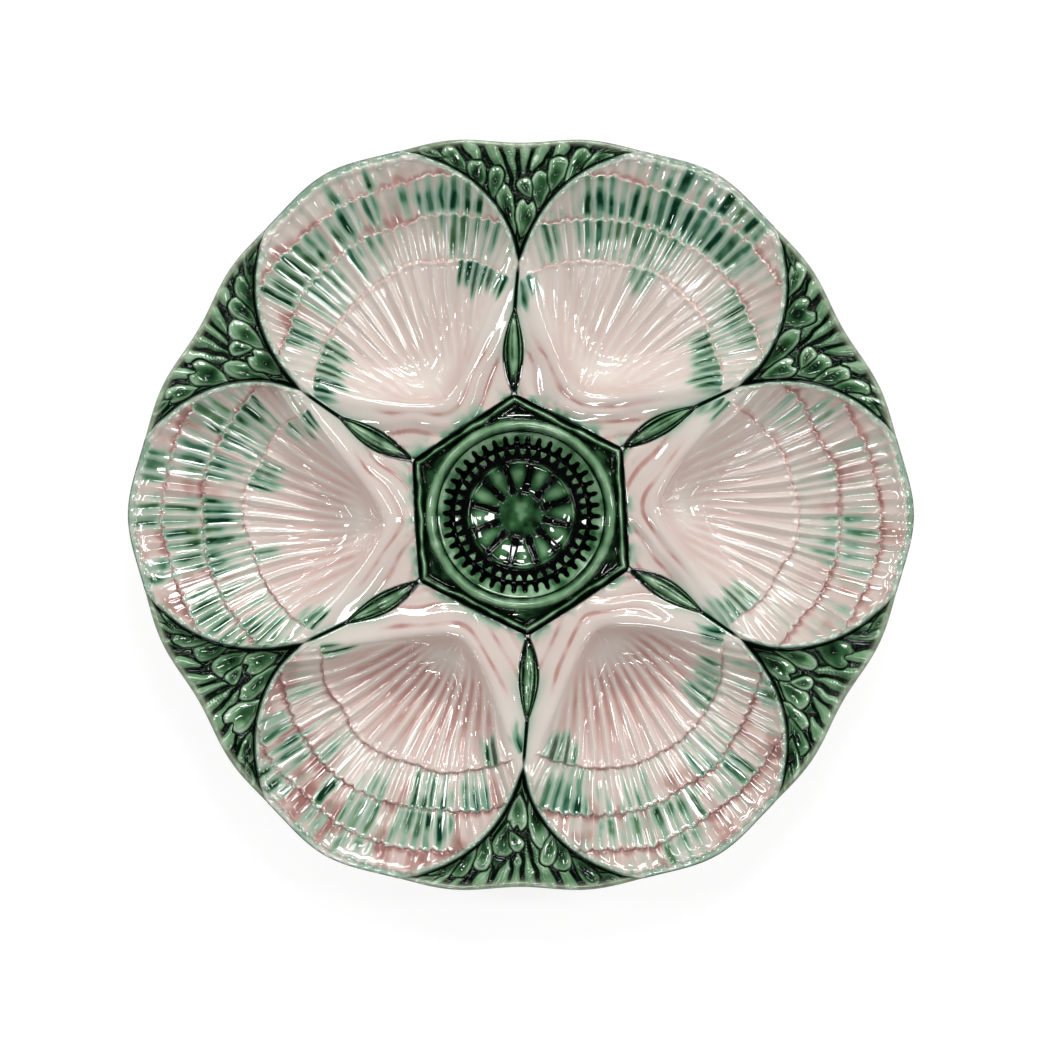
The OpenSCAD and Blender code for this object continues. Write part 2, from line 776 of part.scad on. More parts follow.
foot_ring();
sauce_well();
sauce_well_rim();
tooth_ring();
bead_ring();
rosette();
hex_collar();
shell_well(1);  // shell_well_1
shell_well(2);  // shell_well_2
shell_well(3);  // shell_well_3
shell_well(4);  // shell_well_4
shell_well(5);  // shell_well_5
shell_well(6);  // shell_well_6
bud_divider(1);  // bud_divider_1
bud_divider(2);  // bud_divider_2
bud_divider(3);  // bud_divider_3
bud_divider(4);  // bud_divider_4
bud_divider(5);  // bud_divider_5
bud_divider(6);  // bud_divider_6
rim_panel(1);  // rim_panel_1
rim_panel(2);  // rim_panel_2
rim_panel(3);  // rim_panel_3
rim_panel(4);  // rim_panel_4
rim_panel(5);  // rim_panel_5
rim_panel(6);  // rim_panel_6
seaweed_sprig(1);  // seaweed_sprig_1
seaweed_sprig(2);  // seaweed_sprig_2
seaweed_sprig(3);  // seaweed_sprig_3
seaweed_sprig(4);  // seaweed_sprig_4
seaweed_sprig(5);  // seaweed_sprig_5
seaweed_sprig(6);  // seaweed_sprig_6
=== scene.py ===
# The looks of the oyster plate: every solid of the frame gets a finely modelled, glazed surface.
# Sizes are in millimetres until a mesh is made, where they turn into metres. Named angles are in degrees.

import math
from types import SimpleNamespace

import bpy
import numpy as np
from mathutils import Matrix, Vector

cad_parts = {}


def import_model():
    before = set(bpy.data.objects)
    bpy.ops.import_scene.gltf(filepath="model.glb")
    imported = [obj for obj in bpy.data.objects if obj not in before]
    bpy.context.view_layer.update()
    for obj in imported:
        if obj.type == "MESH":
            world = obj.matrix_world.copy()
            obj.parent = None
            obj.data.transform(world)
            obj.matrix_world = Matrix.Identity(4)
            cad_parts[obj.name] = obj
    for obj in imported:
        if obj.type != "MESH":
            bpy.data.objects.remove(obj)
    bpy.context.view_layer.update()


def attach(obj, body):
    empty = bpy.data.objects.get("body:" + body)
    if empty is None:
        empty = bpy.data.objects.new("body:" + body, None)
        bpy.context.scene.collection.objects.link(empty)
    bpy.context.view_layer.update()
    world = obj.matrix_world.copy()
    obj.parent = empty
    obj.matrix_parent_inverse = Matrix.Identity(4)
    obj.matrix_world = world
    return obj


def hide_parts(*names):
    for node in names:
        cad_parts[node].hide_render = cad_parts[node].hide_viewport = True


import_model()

MM = 0.001

# The plate's driving sizes, as the frame has them
PLATE_R = 121.7
LOBE_RISE = 2.6
RIPPLE_RISE = 0.7
WALL_T = 4.5
HUB_TWIST = 3.2
TWIST_END_SHARE = 0.78
FOOT_H = 3.0
FOOT_INSET = 4.9
FOOT_W = 5.0
LIP_H = 13.0
TIP_RISE = 5.5
RIM_CUT = 2.0
SEAM_CUT = 0.6
FLANGE_W = 10.8
FLANGE_DROP = 2.5
VEE_HALF = 52.0
VEE_ROUND = 6.0
STEEP_RUN = 13.0
BOWL_POWER = 1.8
BOWL_PEAK = 0.95
HEX_FLAT_R = 33.4
RING_SEAT_H = 9.5
CUP_BASE_R = 20.0
BUD_W = 5.8
GROUND_IN_H = 11.0
GROUND_OUT_H = 16.0
WELLS = 6
HALF_PITCH = 30.0

FLOOR_Z = FOOT_H + WALL_T
LIP_Z = FLOOR_Z + LIP_H
RING_SEAT_Z = FLOOR_Z + RING_SEAT_H
HUB_BACK_Z = RING_SEAT_Z - WALL_T
GROUND_IN_Z = FLOOR_Z + GROUND_IN_H
GROUND_OUT_Z = FLOOR_Z + GROUND_OUT_H
BACK_IN_Z = GROUND_IN_Z - WALL_T
BACK_OUT_Z = LIP_Z + TIP_RISE - WALL_T
RIM_TIP_R = PLATE_R + LOBE_RISE + RIPPLE_RISE
RIM_NOTCH_R = PLATE_R - LOBE_RISE - RIPPLE_RISE
SIN_HALF = math.sin(math.radians(HALF_PITCH))
COS_HALF = math.cos(math.radians(HALF_PITCH))
HEX_CORNER_R = HEX_FLAT_R / COS_HALF
SHELL_C = (RIM_TIP_R + RIM_CUT - SEAM_CUT) / (1 + SIN_HALF)
SHELL_R = SHELL_C * SIN_HALF + SEAM_CUT
FOCUS_X = HEX_FLAT_R + FLANGE_W
FOCUS_TO_C = SHELL_C - FOCUS_X
FOCUS_TO_RIM = RIM_TIP_R - FOCUS_X
VEE_X = FOCUS_X - VEE_ROUND / math.tan(math.radians(VEE_HALF))
SEAM_HALF_L = math.sqrt(SHELL_R ** 2 - (SHELL_C * SIN_HALF) ** 2)
BUD_END_R = SHELL_C * COS_HALF - SEAM_HALF_L
SEAM_END_R = SHELL_C * COS_HALF + SEAM_HALF_L
FOOT_R = BUD_END_R - FOOT_INSET
TWIST_END_R = PLATE_R * TWIST_END_SHARE
PANEL_LEN = RIM_NOTCH_R - SEAM_END_R

# How softly a bowl's wall meets the ridge round the beak
WALL_SOFT = 0.07


# Helpers

def srgb(*screen):
    """A colour written as the screen's 0 to 255 values, in linear light."""
    return tuple(((c / 255 + 0.055) / 1.055) ** 2.4 if c > 10 else c / 255 / 12.92 for c in screen)


def eased(t):
    c = np.clip(t, 0, 1)
    return c * c * (3 - 2 * c)


def ramp(value, low, high):
    return eased((value - low) / (high - low))


def bump(value, middle, width):
    return np.exp(-((value - middle) / width) ** 2)


def softened(t, width):
    """A ramp that is 0 below 0 and t above it, with its corner rounded over width."""
    return width * np.logaddexp(0, t / width)


HASH_X, HASH_Y, HASH_SEED, HASH_MIX = 374761393, 668265263, 974634777, 1274126177
HASH_MASK = 0xFFFFFFFF


def lattice(ix, iy, seed):
    """Repeatable values from 0 to 1 at whole-number places."""
    n = (ix.astype(np.int64) * HASH_X + iy.astype(np.int64) * HASH_Y + seed * HASH_SEED) & HASH_MASK
    n = ((n ^ (n >> 13)) * HASH_MIX) & HASH_MASK
    n = n ^ (n >> 16)
    return (n & 0xFFFF) / 65535.0


def chance(n, seed):
    """A repeatable value from 0 to 1 for each whole number."""
    return lattice(n, 0 * n, seed)


def noise(x, y, seed):
    """Smooth noise from -1 to 1 with features about one unit wide."""
    x, y = np.broadcast_arrays(x, y)
    ix, iy = np.floor(x), np.floor(y)
    fx, fy = eased(x - ix), eased(y - iy)
    a = lattice(ix, iy, seed)
    b = lattice(ix + 1, iy, seed)
    c = lattice(ix, iy + 1, seed)
    d = lattice(ix + 1, iy + 1, seed)
    return 2 * ((a * (1 - fx) + b * fx) * (1 - fy) + (c * (1 - fx) + d * fx) * fy) - 1


def rough(x, y, seed):
    """Two octaves of noise."""
    return 0.68 * noise(x, y, seed) + 0.32 * noise(2.1 * x + 7, 2.1 * y + 3, seed + 50)


def flat(*grids):
    """The values of several grids side by side, a row for each place."""
    return np.stack(grids, axis=-1).reshape(-1, len(grids))


# The plate's plan and heights

def from_axis(angle):
    """An angle in radians, counted from the nearest well's axis."""
    half = math.radians(HALF_PITCH)
    return (angle + half) % (2 * half) - half


def twist_at(r):
    """The hub stands a few degrees round from the rim, and what lies between follows it."""
    return HUB_TWIST * (1 - eased((r - HEX_CORNER_R) / (TWIST_END_R - HEX_CORNER_R)))


def placed(x, y, turn):
    """A place seen from its well's or panel's axis, in the plate's own x and y."""
    r = np.hypot(x, y)
    a = np.arctan2(y, x) + np.radians(turn + twist_at(r))
    return r * np.cos(a), r * np.sin(a)


def rim_at(a):
    """The rim's radius at an angle in radians from a well's axis."""
    return PLATE_R + LOBE_RISE * np.cos(WELLS * a) + RIPPLE_RISE * np.cos(3 * WELLS * a)


def reach_at(psi):
    """From the focus to the shell's round outline, in direction psi in radians."""
    return FOCUS_TO_C * np.cos(psi) + np.sqrt(np.maximum(0, SHELL_R ** 2 - (FOCUS_TO_C * np.sin(psi)) ** 2))


def lip_at(x, y):
    return LIP_Z + TIP_RISE * (np.hypot(x, y) - FOCUS_X) / FOCUS_TO_RIM


def inside_ridge(x, y):
    """Distance inside the ridge that runs round the beak."""
    half = math.radians(VEE_HALF)
    return (x - VEE_X) * math.sin(half) - np.sqrt(y * y + VEE_ROUND ** 2) * math.cos(half)


def bowl_at(x, y, soft=0.0):
    qx = x - FOCUS_X
    far = reach_at(np.arctan2(y, qx))
    share = np.clip(np.hypot(qx, y) / np.maximum(far, FLANGE_W), 0, 1)
    run = inside_ridge(x, y) / STEEP_RUN
    run = softened(run, soft) if soft else run
    wall = 1 - (1 - np.clip(run, 0, 1)) ** 2
    return np.minimum(1, wall * (1 - share ** BOWL_POWER) / BOWL_PEAK)


def top_at(x, y, soft=0.0):
    lip = lip_at(x, y)
    away = np.clip(-inside_ridge(x, y) / FLANGE_W, 0, 1)
    flange = FLANGE_DROP * (0.85 * away + 0.15 * eased(away))
    return lip - (lip - FLOOR_Z) * bowl_at(x, y, soft) - flange


def back_dish(r):
    t = np.clip((r - SEAM_END_R) / (RIM_TIP_R - SEAM_END_R), 0, 1)
    return BACK_IN_Z + (BACK_OUT_Z - BACK_IN_Z) * t


def back_at(x, y):
    return np.maximum(FOOT_H, np.minimum(back_dish(np.hypot(x, y)), top_at(x, y) - WALL_T))


def ground_plane(x):
    return GROUND_IN_Z + (GROUND_OUT_Z - GROUND_IN_Z) * (x - SEAM_END_R) / PANEL_LEN


def bud_half_w(r):
    t = np.clip((r - HEX_CORNER_R) / (BUD_END_R - HEX_CORNER_R), 0, 1)
    return BUD_W / 2 * np.sin(np.pi * t)


# Meshes

def show(thing):
    bpy.context.scene.collection.objects.link(thing)


def add_piece(points, faces, paint, slot, *nodes):
    """A smooth mesh from lists of arrays, in millimetres, riding on the plate in place of CAD nodes."""
    name = f"{nodes[0]}_glazed"
    places = np.concatenate(points) * MM
    colours = np.clip(np.concatenate(paint), 0, 1)
    mesh = bpy.data.meshes.new(name)
    sizes = np.concatenate([np.full(len(f), f.shape[1]) for f in faces])
    corners = np.concatenate([f.ravel() for f in faces])
    mesh.vertices.add(len(places))
    mesh.vertices.foreach_set("co", places.ravel())
    mesh.loops.add(len(corners))
    mesh.loops.foreach_set("vertex_index", corners.astype(np.int32))
    mesh.polygons.add(len(sizes))
    starts = np.concatenate([[0], np.cumsum(sizes)[:-1]])
    mesh.polygons.foreach_set("loop_start", starts.astype(np.int32))
    mesh.update(calc_edges=True)
    mesh.polygons.foreach_set("use_smooth", np.ones(len(sizes), dtype=bool))
    layer = mesh.color_attributes.new("glaze", "FLOAT_COLOR", "POINT")
    layer.data.foreach_set("color", colours.astype(np.float32).ravel())
    mesh.validate()
    piece = bpy.data.objects.new(name, mesh)
    show(piece)
    piece.data.materials.append(GLAZES[slot])
    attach(piece, "root")
    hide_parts(*nodes)


def grid_faces(rows, cols, start=0, closed=False, around=False, flip=False):
    """Quads of a grid, where closed joins the ends of each row, and around the last row and the first."""
    r = np.arange(rows if around else rows - 1)[:, None]
    c = np.arange(cols if closed else cols - 1)[None, :]
    here = start + r * cols
    over = start + (r + 1) % rows * cols
    n = (c + 1) % cols
    quads = [here + c, here + n, over + n, over + c] if flip else [here + c, over + c, over + n, here + n]
    return flat(*quads)


def grid_outline(rows, cols):
    """The points round the outside of a grid, in order."""
    return np.concatenate([
        np.arange(cols - 1),
        np.arange(rows - 1) * cols + cols - 1,
        (rows - 1) * cols + np.arange(cols - 1, 0, -1),
        np.arange(rows - 1, 0, -1) * cols,
    ])


# Materials

BLACK = (0, 0, 0)
WHITE = (1, 1, 1)
COAT_IOR = 1.7
COAT_ROUGHNESS = 0.03
RIPPLE_STRENGTH = 0.02
RIPPLE_H = 0.0004


class Nodes:
    """Short calls for the node tree of one material or of the world."""

    def __init__(self, owner, output="ShaderNodeOutputMaterial"):
        owner.use_nodes = True
        self.owner = owner
        self.tree = owner.node_tree
        self.tree.nodes.clear()
        self.output = self.new(output)

    def feed(self, target, value):
        """Link an output to a node's input, or set a plain value there."""
        if isinstance(value, bpy.types.NodeSocket):
            self.tree.links.new(value, target)
        else:
            target.default_value = value

    def new(self, kind, sockets=None, **settings):
        node = self.tree.nodes.new(kind)
        for key, value in settings.items():
            setattr(node, key, value)
        for key, value in (sockets or {}).items():
            self.feed(node.inputs[key], value)
        return node

    def maths(self, operation, *values):
        return self.new("ShaderNodeMath", dict(enumerate(values)), operation=operation).outputs[0]

    def mix(self, factor, a, b):
        node = self.new("ShaderNodeMix", data_type="RGBA")
        for name, kind, value in (("Factor", "VALUE", factor), ("A", "RGBA", a), ("B", "RGBA", b)):
            target = next(s for s in node.inputs if s.name == name and s.type == kind)
            self.feed(target, (*value, 1) if isinstance(value, tuple) else value)
        return next(s for s in node.outputs if s.type == "RGBA")

    def channels(self):
        """The red, green and blue that are painted on the mesh."""
        layer = self.new("ShaderNodeVertexColor", layer_name="glaze")
        return self.new("ShaderNodeSeparateColor", {0: layer.outputs["Color"]}).outputs

    def grain(self, scale, detail=2.0):
        """Noise over the object's own coordinates."""
        where = self.new("ShaderNodeTexCoord").outputs["Object"]
        sockets = {"Vector": where, "Scale": scale, "Detail": detail}
        return self.new("ShaderNodeTexNoise", sockets).outputs["Fac"]

    def ramp(self, factor, stops):
        node = self.new("ShaderNodeValToRGB", {"Fac": factor})
        elements = node.color_ramp.elements
        for i, (place, colour) in enumerate(stops):
            stop = elements[i] if i < 2 else elements.new(place)
            stop.position = place
            stop.color = (*colour, 1)
        return node.outputs["Color"]

    def rise(self, factor, low, high):
        """From 0 at low to 1 at high."""
        return self.ramp(factor, [(low, BLACK), (high, WHITE)])

    def glaze(self, colour, roughness, ripple_scale):
        """The finished material: a glossy coat with a slight ripple over the colour."""
        ripple = self.new("ShaderNodeBump", {
            "Strength": RIPPLE_STRENGTH, "Distance": RIPPLE_H, "Height": self.grain(ripple_scale),
        }).outputs["Normal"]
        shader = self.new("ShaderNodeBsdfPrincipled", {
            "Base Color": colour, "Roughness": roughness, "Specular IOR Level": 0.0,
            "Coat Weight": 1.0, "Coat Roughness": COAT_ROUGHNESS, "Coat IOR": COAT_IOR,
            "Normal": ripple, "Coat Normal": ripple,
        })
        return self.finished(shader)

    def finished(self, shader):
        self.feed(self.output.inputs["Surface"], shader.outputs[0])
        return self.owner


CREAM = srgb(212, 205, 197)
CREAM_WARM = srgb(216, 204, 196)
PINK = srgb(196, 163, 155)
# Deepest pink, where the pink is strongest in the flutes and at the steps: pooled pink glaze and painted
# shade in the creases
PINK_DEEP_AND_SHADE = srgb(150, 104, 99)
STREAK_PALE = srgb(156, 178, 160)
STREAK_GREEN = srgb(80, 130, 106)
STREAK_OLIVE = srgb(98, 130, 92)
STREAK_DARK = srgb(8, 48, 30)
EDGE_GREEN = srgb(8, 34, 18)
BACK_CREAM = srgb(211, 198, 189)
GREENS = [
    (0.00, srgb(0, 2, 1)),
    (0.22, srgb(7, 28, 13)),
    (0.45, srgb(48, 90, 54)),
    (0.70, srgb(114, 152, 115)),
    (1.00, srgb(180, 206, 180)),
]


def shell_material():
    """Cream glaze: channel red carries pink, deepest where it is pooled glaze and painted shade in the
    creases, green the green streaks, blue the dark green of the edges and the painted shade along the rim's
    edge.
    """
    m = Nodes(bpy.data.materials.new("shell_glaze"))
    pink, green, edge = m.channels()
    body = m.mix(m.grain(55.0), CREAM, CREAM_WARM)
    blotch = m.maths("MULTIPLY_ADD", m.grain(160.0, 3.0), 0.5, 0.72)
    pink_and_shade = m.maths("MULTIPLY", pink, blotch)
    blushed = m.mix(m.rise(pink_and_shade, 0.0, 0.6), body, PINK)
    # Where the pink runs deepest it turns darker: pooled pink glaze and painted shade in the creases
    tone = m.mix(m.rise(pink_and_shade, 0.45, 1.0), blushed, PINK_DEEP_AND_SHADE)
    washed = m.mix(m.rise(green, 0.0, 0.22), tone, STREAK_PALE)
    leafy = m.mix(m.rise(m.grain(70.0), 0.4, 0.65), STREAK_GREEN, STREAK_OLIVE)
    greened = m.mix(m.rise(green, 0.2, 0.55), washed, leafy)
    streaked = m.mix(m.rise(green, 0.5, 1.0), greened, STREAK_DARK)
    edged = m.mix(edge, streaked, EDGE_GREEN)
    return m.glaze(edged, 0.28, 500.0)


def green_material():
    """Green glaze: channel red is how far a place stands out of the hollows, with some painted shade and
    painted highlights in it, blue how creamy it is.
    """
    m = Nodes(bpy.data.materials.new("green_glaze"))
    height, _, cream = m.channels()
    speckle = m.maths("SUBTRACT", m.grain(260.0, 3.0), 0.5)
    stirred = m.maths("ADD", height, m.maths("MULTIPLY", speckle, 0.22))
    full = m.mix(cream, m.ramp(stirred, GREENS), BACK_CREAM)
    return m.glaze(full, 0.25, 450.0)


shell_glaze = shell_material()
green_glaze = green_material()
GLAZES = {"shell_glaze": shell_glaze, "deep_green_glaze": green_glaze, "leaf_green_glaze": green_glaze}

# The plain cream paint of what isn't seen from above: under the shells, on the foot, under green pieces
SHELL_BACK = (0.12, 0.0, 0.0, 1.0)
FOOT_PAINT = (0.15, 0.0, 0.0, 1.0)
GREEN_BACK = (0.0, 0.0, 1.0, 1.0)


def plain(colour, count):
    return np.tile(colour, (count, 1))


def green_paint(tone, cream=0.0):
    return flat(tone, 0 * tone, cream + 0 * tone, 0 * tone + 1)


# Shell wells

PSI_FAN = 60.0
RIB_PITCH = 7.26
RING_RHO = (43.6, 57.2, 69.4)
STEP_H = (0.8, 0.9, 0.85, 0.68)
RIM_FADE = 0.6
LIP_ROUND = 1.1
MARGIN_W = 1.9
FOLD_END_R = 60.0

# Green streaks on each shell: band between growth steps, from and to in degrees round the focus, strength
STREAKS = [
    [(0, -70, -40, 0.6), (0, 56, 70, 0.6), (1, -17, 0, 0.4), (2, -14, 2, 0.4), (2, 29, 36, 0.4)],
    [(0, -61, -32, 1.0), (0, 0, 11, 0.6), (0, 54, 70, 0.8), (1, -45, -23, 0.7), (1, -3, 36, 0.65),
     (2, -19, 33, 1.0), (3, -17, 11, 0.9), (3, -8, 3, 1.0)],
    [(0, -58, -34, 1.0), (0, 35, 61, 0.9), (1, -45, -29, 0.7), (1, 3, 7, 0.6), (1, 11, 23, 0.4),
     (1, 34, 43, 1.0), (2, -40, -20, 1.0), (2, -8, -5, 0.8), (2, 0, 7, 0.9), (2, 10, 33, 1.0),
     (3, -11, -7, 0.9), (3, -1, 3, 0.9)],
    [(0, -57, -50, 1.0), (0, -48, -43, 0.7), (0, -26, -12, 1.0), (0, 14, 20, 0.6), (0, 50, 59, 0.8),
     (1, -43, -23, 0.9), (1, -19, -12, 0.8), (1, -5, 20, 1.0), (1, 23, 29, 0.8), (1, 38, 54, 0.8),
     (2, -35, -27, 0.9), (2, -22, -14, 0.9), (2, -13, -11, 0.8), (2, -4, 1, 0.8), (2, 4, 16, 1.1),
     (2, 21, 35, 0.9), (2, 37, 43, 0.9), (3, -16, -9, 0.9), (3, -4, 3, 0.9), (3, 11, 16, 0.9)],
    [(0, -58, -51, 0.8), (0, 43, 50, 0.8), (0, 57, 66, 0.9), (1, -41, -38, 0.7), (1, -27, -25, 0.7),
     (1, -19, -14, 0.7), (1, -2, 8, 0.4), (1, 15, 30, 0.8), (1, 33, 43, 0.8), (2, -36, -30, 0.8),
     (2, -27, -20, 0.8), (2, -11, -7, 1.1), (2, -2, 8, 0.7), (2, 13, 30, 1.1), (3, -26, -16, 0.8),
     (3, -10, -5, 1.1), (3, -2, 10, 0.7)],
    [(0, -54, -38, 0.8), (0, 25, 47, 0.7), (0, 54, 70, 0.9), (1, -48, -31, 1.0), (1, -27, -22, 0.4),
     (1, -20, -7, 0.4), (1, 6, 19, 0.6), (2, -27, -22, 0.7), (2, -19, -14, 0.7), (2, -12, 4, 0.7),
     (2, 14, 21, 0.8), (2, 39, 47, 1.1), (3, -11, 1, 0.7)],
]

# How far each shell is washed with green, and how pink its flutes are
WASH = (0.3, 0.8, 0.7, 0.45, 0.2, 0.3)
BLUSH = (0.65, 0.45, 0.45, 0.9, 1.4, 1.2)


def in_well(x, y):
    r = np.hypot(x, y)
    a = np.abs(np.arctan2(y, x))
    side = math.radians(HALF_PITCH) - np.arcsin(np.clip(bud_half_w(r) / np.maximum(r, 1), 0, 1))
    round_side = (x - SHELL_C) ** 2 + y ** 2 <= SHELL_R ** 2
    beside = np.where(r < SEAM_END_R, a <= side, round_side)
    return (x >= HEX_FLAT_R) & beside & (r <= rim_at(a))


def well_reach(psi):
    """Distance from the focus to a well's outline, found by halving."""
    low = np.zeros_like(psi)
    high = np.full_like(psi, FOCUS_TO_RIM + 5)
    for _ in range(40):
        mid = (low + high) / 2
        inside = in_well(FOCUS_X + mid * np.cos(psi), mid * np.sin(psi))
        low = np.where(inside, mid, low)
        high = np.where(inside, high, mid)
    return low


def well_columns():
    """Directions round the focus, close together across the fan."""
    fan_n, rest_n = ((370, 84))
    fan = np.linspace(-PSI_FAN, PSI_FAN, fan_n, endpoint=False)
    rest = np.linspace(PSI_FAN, 360 - PSI_FAN, rest_n, endpoint=False)
    return np.concatenate([fan, rest])


def well_rows():
    """Shares of the way from the focus to the outline, close together at the lip."""
    inner_n, outer_n = ((12, 148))
    inner = np.linspace(0.01, 0.17, inner_n, endpoint=False)
    outer = np.linspace(0.17, 0.975, outer_n, endpoint=False)
    lip = 1 - 0.025 * (1 - np.linspace(0, 1, 8)) ** 1.5
    return np.concatenate([inner, outer, lip])


def in_fan(psi, low, high):
    return ramp(PSI_FAN - np.abs(psi), low, high)


def scallops(phase):
    """Two round lobes to each rib, from 0 between them to 1."""
    return np.abs(np.sin(2 * np.pi * phase)) ** 0.6


def rib_relief(psi, rho, seed):
    """Height of the ridges between the flutes, how far down in a flute a place is, and its count of ribs."""
    bend = np.clip(1 - rho / RING_RHO[0], 0, 1)
    wander = 0.7 * noise(psi / 9, 0.5, seed) + 0.45 * noise(psi / 6, rho / 14, seed + 1)
    phase = (psi * (1 - 0.7 * bend ** 2) + wander) / RIB_PITCH
    rib = np.round(phase)
    sharp = 0.7 + 0.25 * chance(rib, seed + 2)
    major = 1 - np.abs(np.sin(np.pi * phase)) ** sharp
    minor = 1 - np.abs(np.cos(np.pi * phase)) ** 0.85
    fan = in_fan(psi, 0, 7)
    outer = ramp(rho, RING_RHO[0] - 3, RING_RHO[0] + 3)
    minor_share = 0.25 * ramp(rho, 26, 40) * (1 - outer) + 0.9 * outer
    tall = (0.9 + 0.35 * ramp(rho, 24, 38) - 0.35 * outer) * (0.7 + 0.6 * chance(rib, seed + 3))
    ridges = np.maximum(tall * major, 0.8 * minor_share * minor)
    flute = (1 - np.maximum(major, minor_share * minor)) ** 1.5 * fan * ramp(rho, 7, 16)
    return ramp(rho, 10, 34) * fan * ridges, flute, phase


def ring_edges(psi, phase, seed):
    """Distance from the focus to where each band between growth steps starts, and to the last one's end."""
    half_rib = np.floor(2 * phase)
    edges = [16.0]
    for i, base in enumerate(RING_RHO):
        uneven = 0.9 * chance(half_rib, seed + 15 + i) - 0.45
        wave = 1.1 * noise(psi / 13, 0.0, seed + 5 + i)
        wide_lobes = 0.6 * np.abs(np.sin(np.pi * phase)) ** 0.6
        lobes = wide_lobes if i == 0 else 0.85 * scallops(phase) * (1 + uneven)
        edges.append(base + wave + lobes - 0.4 - 0.02 * np.abs(psi))
    return edges + [FOCUS_TO_RIM + 4]


def ring_relief(psi, rho, phase, seed):
    """Growth steps: their height, nearness to a step's foot, a thin line at each step that is pink glaze and
    painted shadow, the band and how far across it.
    """
    half_rib = np.floor(2 * phase)
    lift, foot, line, along = (np.zeros_like(rho) for _ in range(4))
    band = np.zeros(rho.shape, dtype=int)
    edges = ring_edges(psi, phase, seed)
    for i in range(4):
        t = np.clip((rho - edges[i]) / (edges[i + 1] - edges[i]), 0, 1)
        here = (rho >= edges[i]) & (rho < edges[i + 1])
        tilt = lattice(half_rib, 0 * half_rib + i, seed + 25) - 0.5
        shingle = 0.3 * tilt * scallops(phase) * ramp(t, 0, 0.3) * (i > 0)
        crest = 0.25 * ramp(t, 0.93, 0.99) * (i < 3)
        lift = np.where(here, STEP_H[i] * t ** (1.8 if i == 0 else 1.2) + shingle + crest, lift)
        band = np.where(here, i, band)
        along = np.where(here, t, along)
    for i in range(1, 4):
        blot = ramp(rough(psi / 4, 3.7 * i, seed + 35), 0.0, 0.6)
        reach = (0.9 if i == 1 else 2.3) + 0.6 * noise(psi / 2.2, rho / 3, seed + 36) + 3.0 * blot
        beyond = rho - edges[i]
        faint = 0.62 if i == 1 else 0.9
        behind_step = np.where(beyond > 0, 1 - ramp(beyond, 0.3 * reach, reach), np.exp(beyond / 0.5))
        foot = np.maximum(foot, faint * behind_step)
        # A thin dark line just below each step: pink glaze and painted shadow of the step
        line = np.maximum(line, faint * bump(beyond, 0.15, 0.5))
    fan = in_fan(psi, -2, 5)
    return lift * fan, foot * fan, line * fan, band, along


def streak_field(g):
    """Green that ran along the ribs, as stripes in patches and a faint wash, and where the patches are."""
    psi, rho, phase, band, along, index = g.psi, g.rho, g.phase, g.band, g.along, g.index
    cell = np.floor(2 * phase)
    across = 2 * phase - cell
    seed = 300 + index
    luck, start, side, wide, stop = (lattice(cell, band, seed + i) for i in (0, 1, 3, 4, 6))
    middle = 0.36 + 0.28 * side + 0.07 * noise(rho / 4, cell, seed + 11)
    thick = ramp(0.1 + 0.17 * wide - np.abs(across - middle), -0.09, 0.08)
    pale_ridge = 1 - 0.5 * bump(np.abs(across - 0.5), 0.5, 0.15)
    strayed = psi + 1.2 * noise(rho / 5, psi / 3, seed + 5)
    lengths = [
        ramp(along, 0.5 + 0.2 * start, 0.72 + 0.2 * start),
        0.3 + 0.7 * ramp(along, 0.6 * start, 0.6 * start + 0.35),
        0.35 + 0.65 * ramp(0.6 + 0.6 * stop - along, 0, 0.35),
        0.25 + 0.75 * ramp(0.35 + 0.6 * stop - along, 0, 0.4),
    ]
    total, cover = np.zeros_like(psi), np.zeros_like(psi)
    for b, low, high, strength in STREAKS[index]:
        where = ramp(strayed, low - 1.6, low + 1.6) * ramp(-strayed, -high - 1.6, -high + 1.6)
        fill = strength * (0.34 + 0.26 * side)
        amount = strength * (0.25 + 0.85 * luck) * thick
        total = np.maximum(total, (band == b) * where * lengths[b] * (fill + amount))
        cover = np.maximum(cover, (band == b) * where)
    spread = lattice(np.floor(phase), band, seed + 8) + 0.5 * noise(psi / 7, rho / 9, seed + 9)
    wash = WASH[index] * (0.2 + 0.8 * ramp(spread, 0.35, 0.9)) * (band >= 1)
    faint = wash * (0.5 + 0.6 * thick) * in_fan(psi, 0, 8)
    total = np.maximum(total, faint * (0.4 + 0.6 * ramp(along, start, start + 0.4)))
    mottled = 0.85 + 0.3 * rough(psi / 1.6, rho / 3.0, seed + 7)
    return np.clip(total * mottled * pale_ridge, 0, 1), cover


def from_focus(psi, rho):
    a = np.radians(psi)
    return FOCUS_X + rho * np.cos(a), rho * np.sin(a)


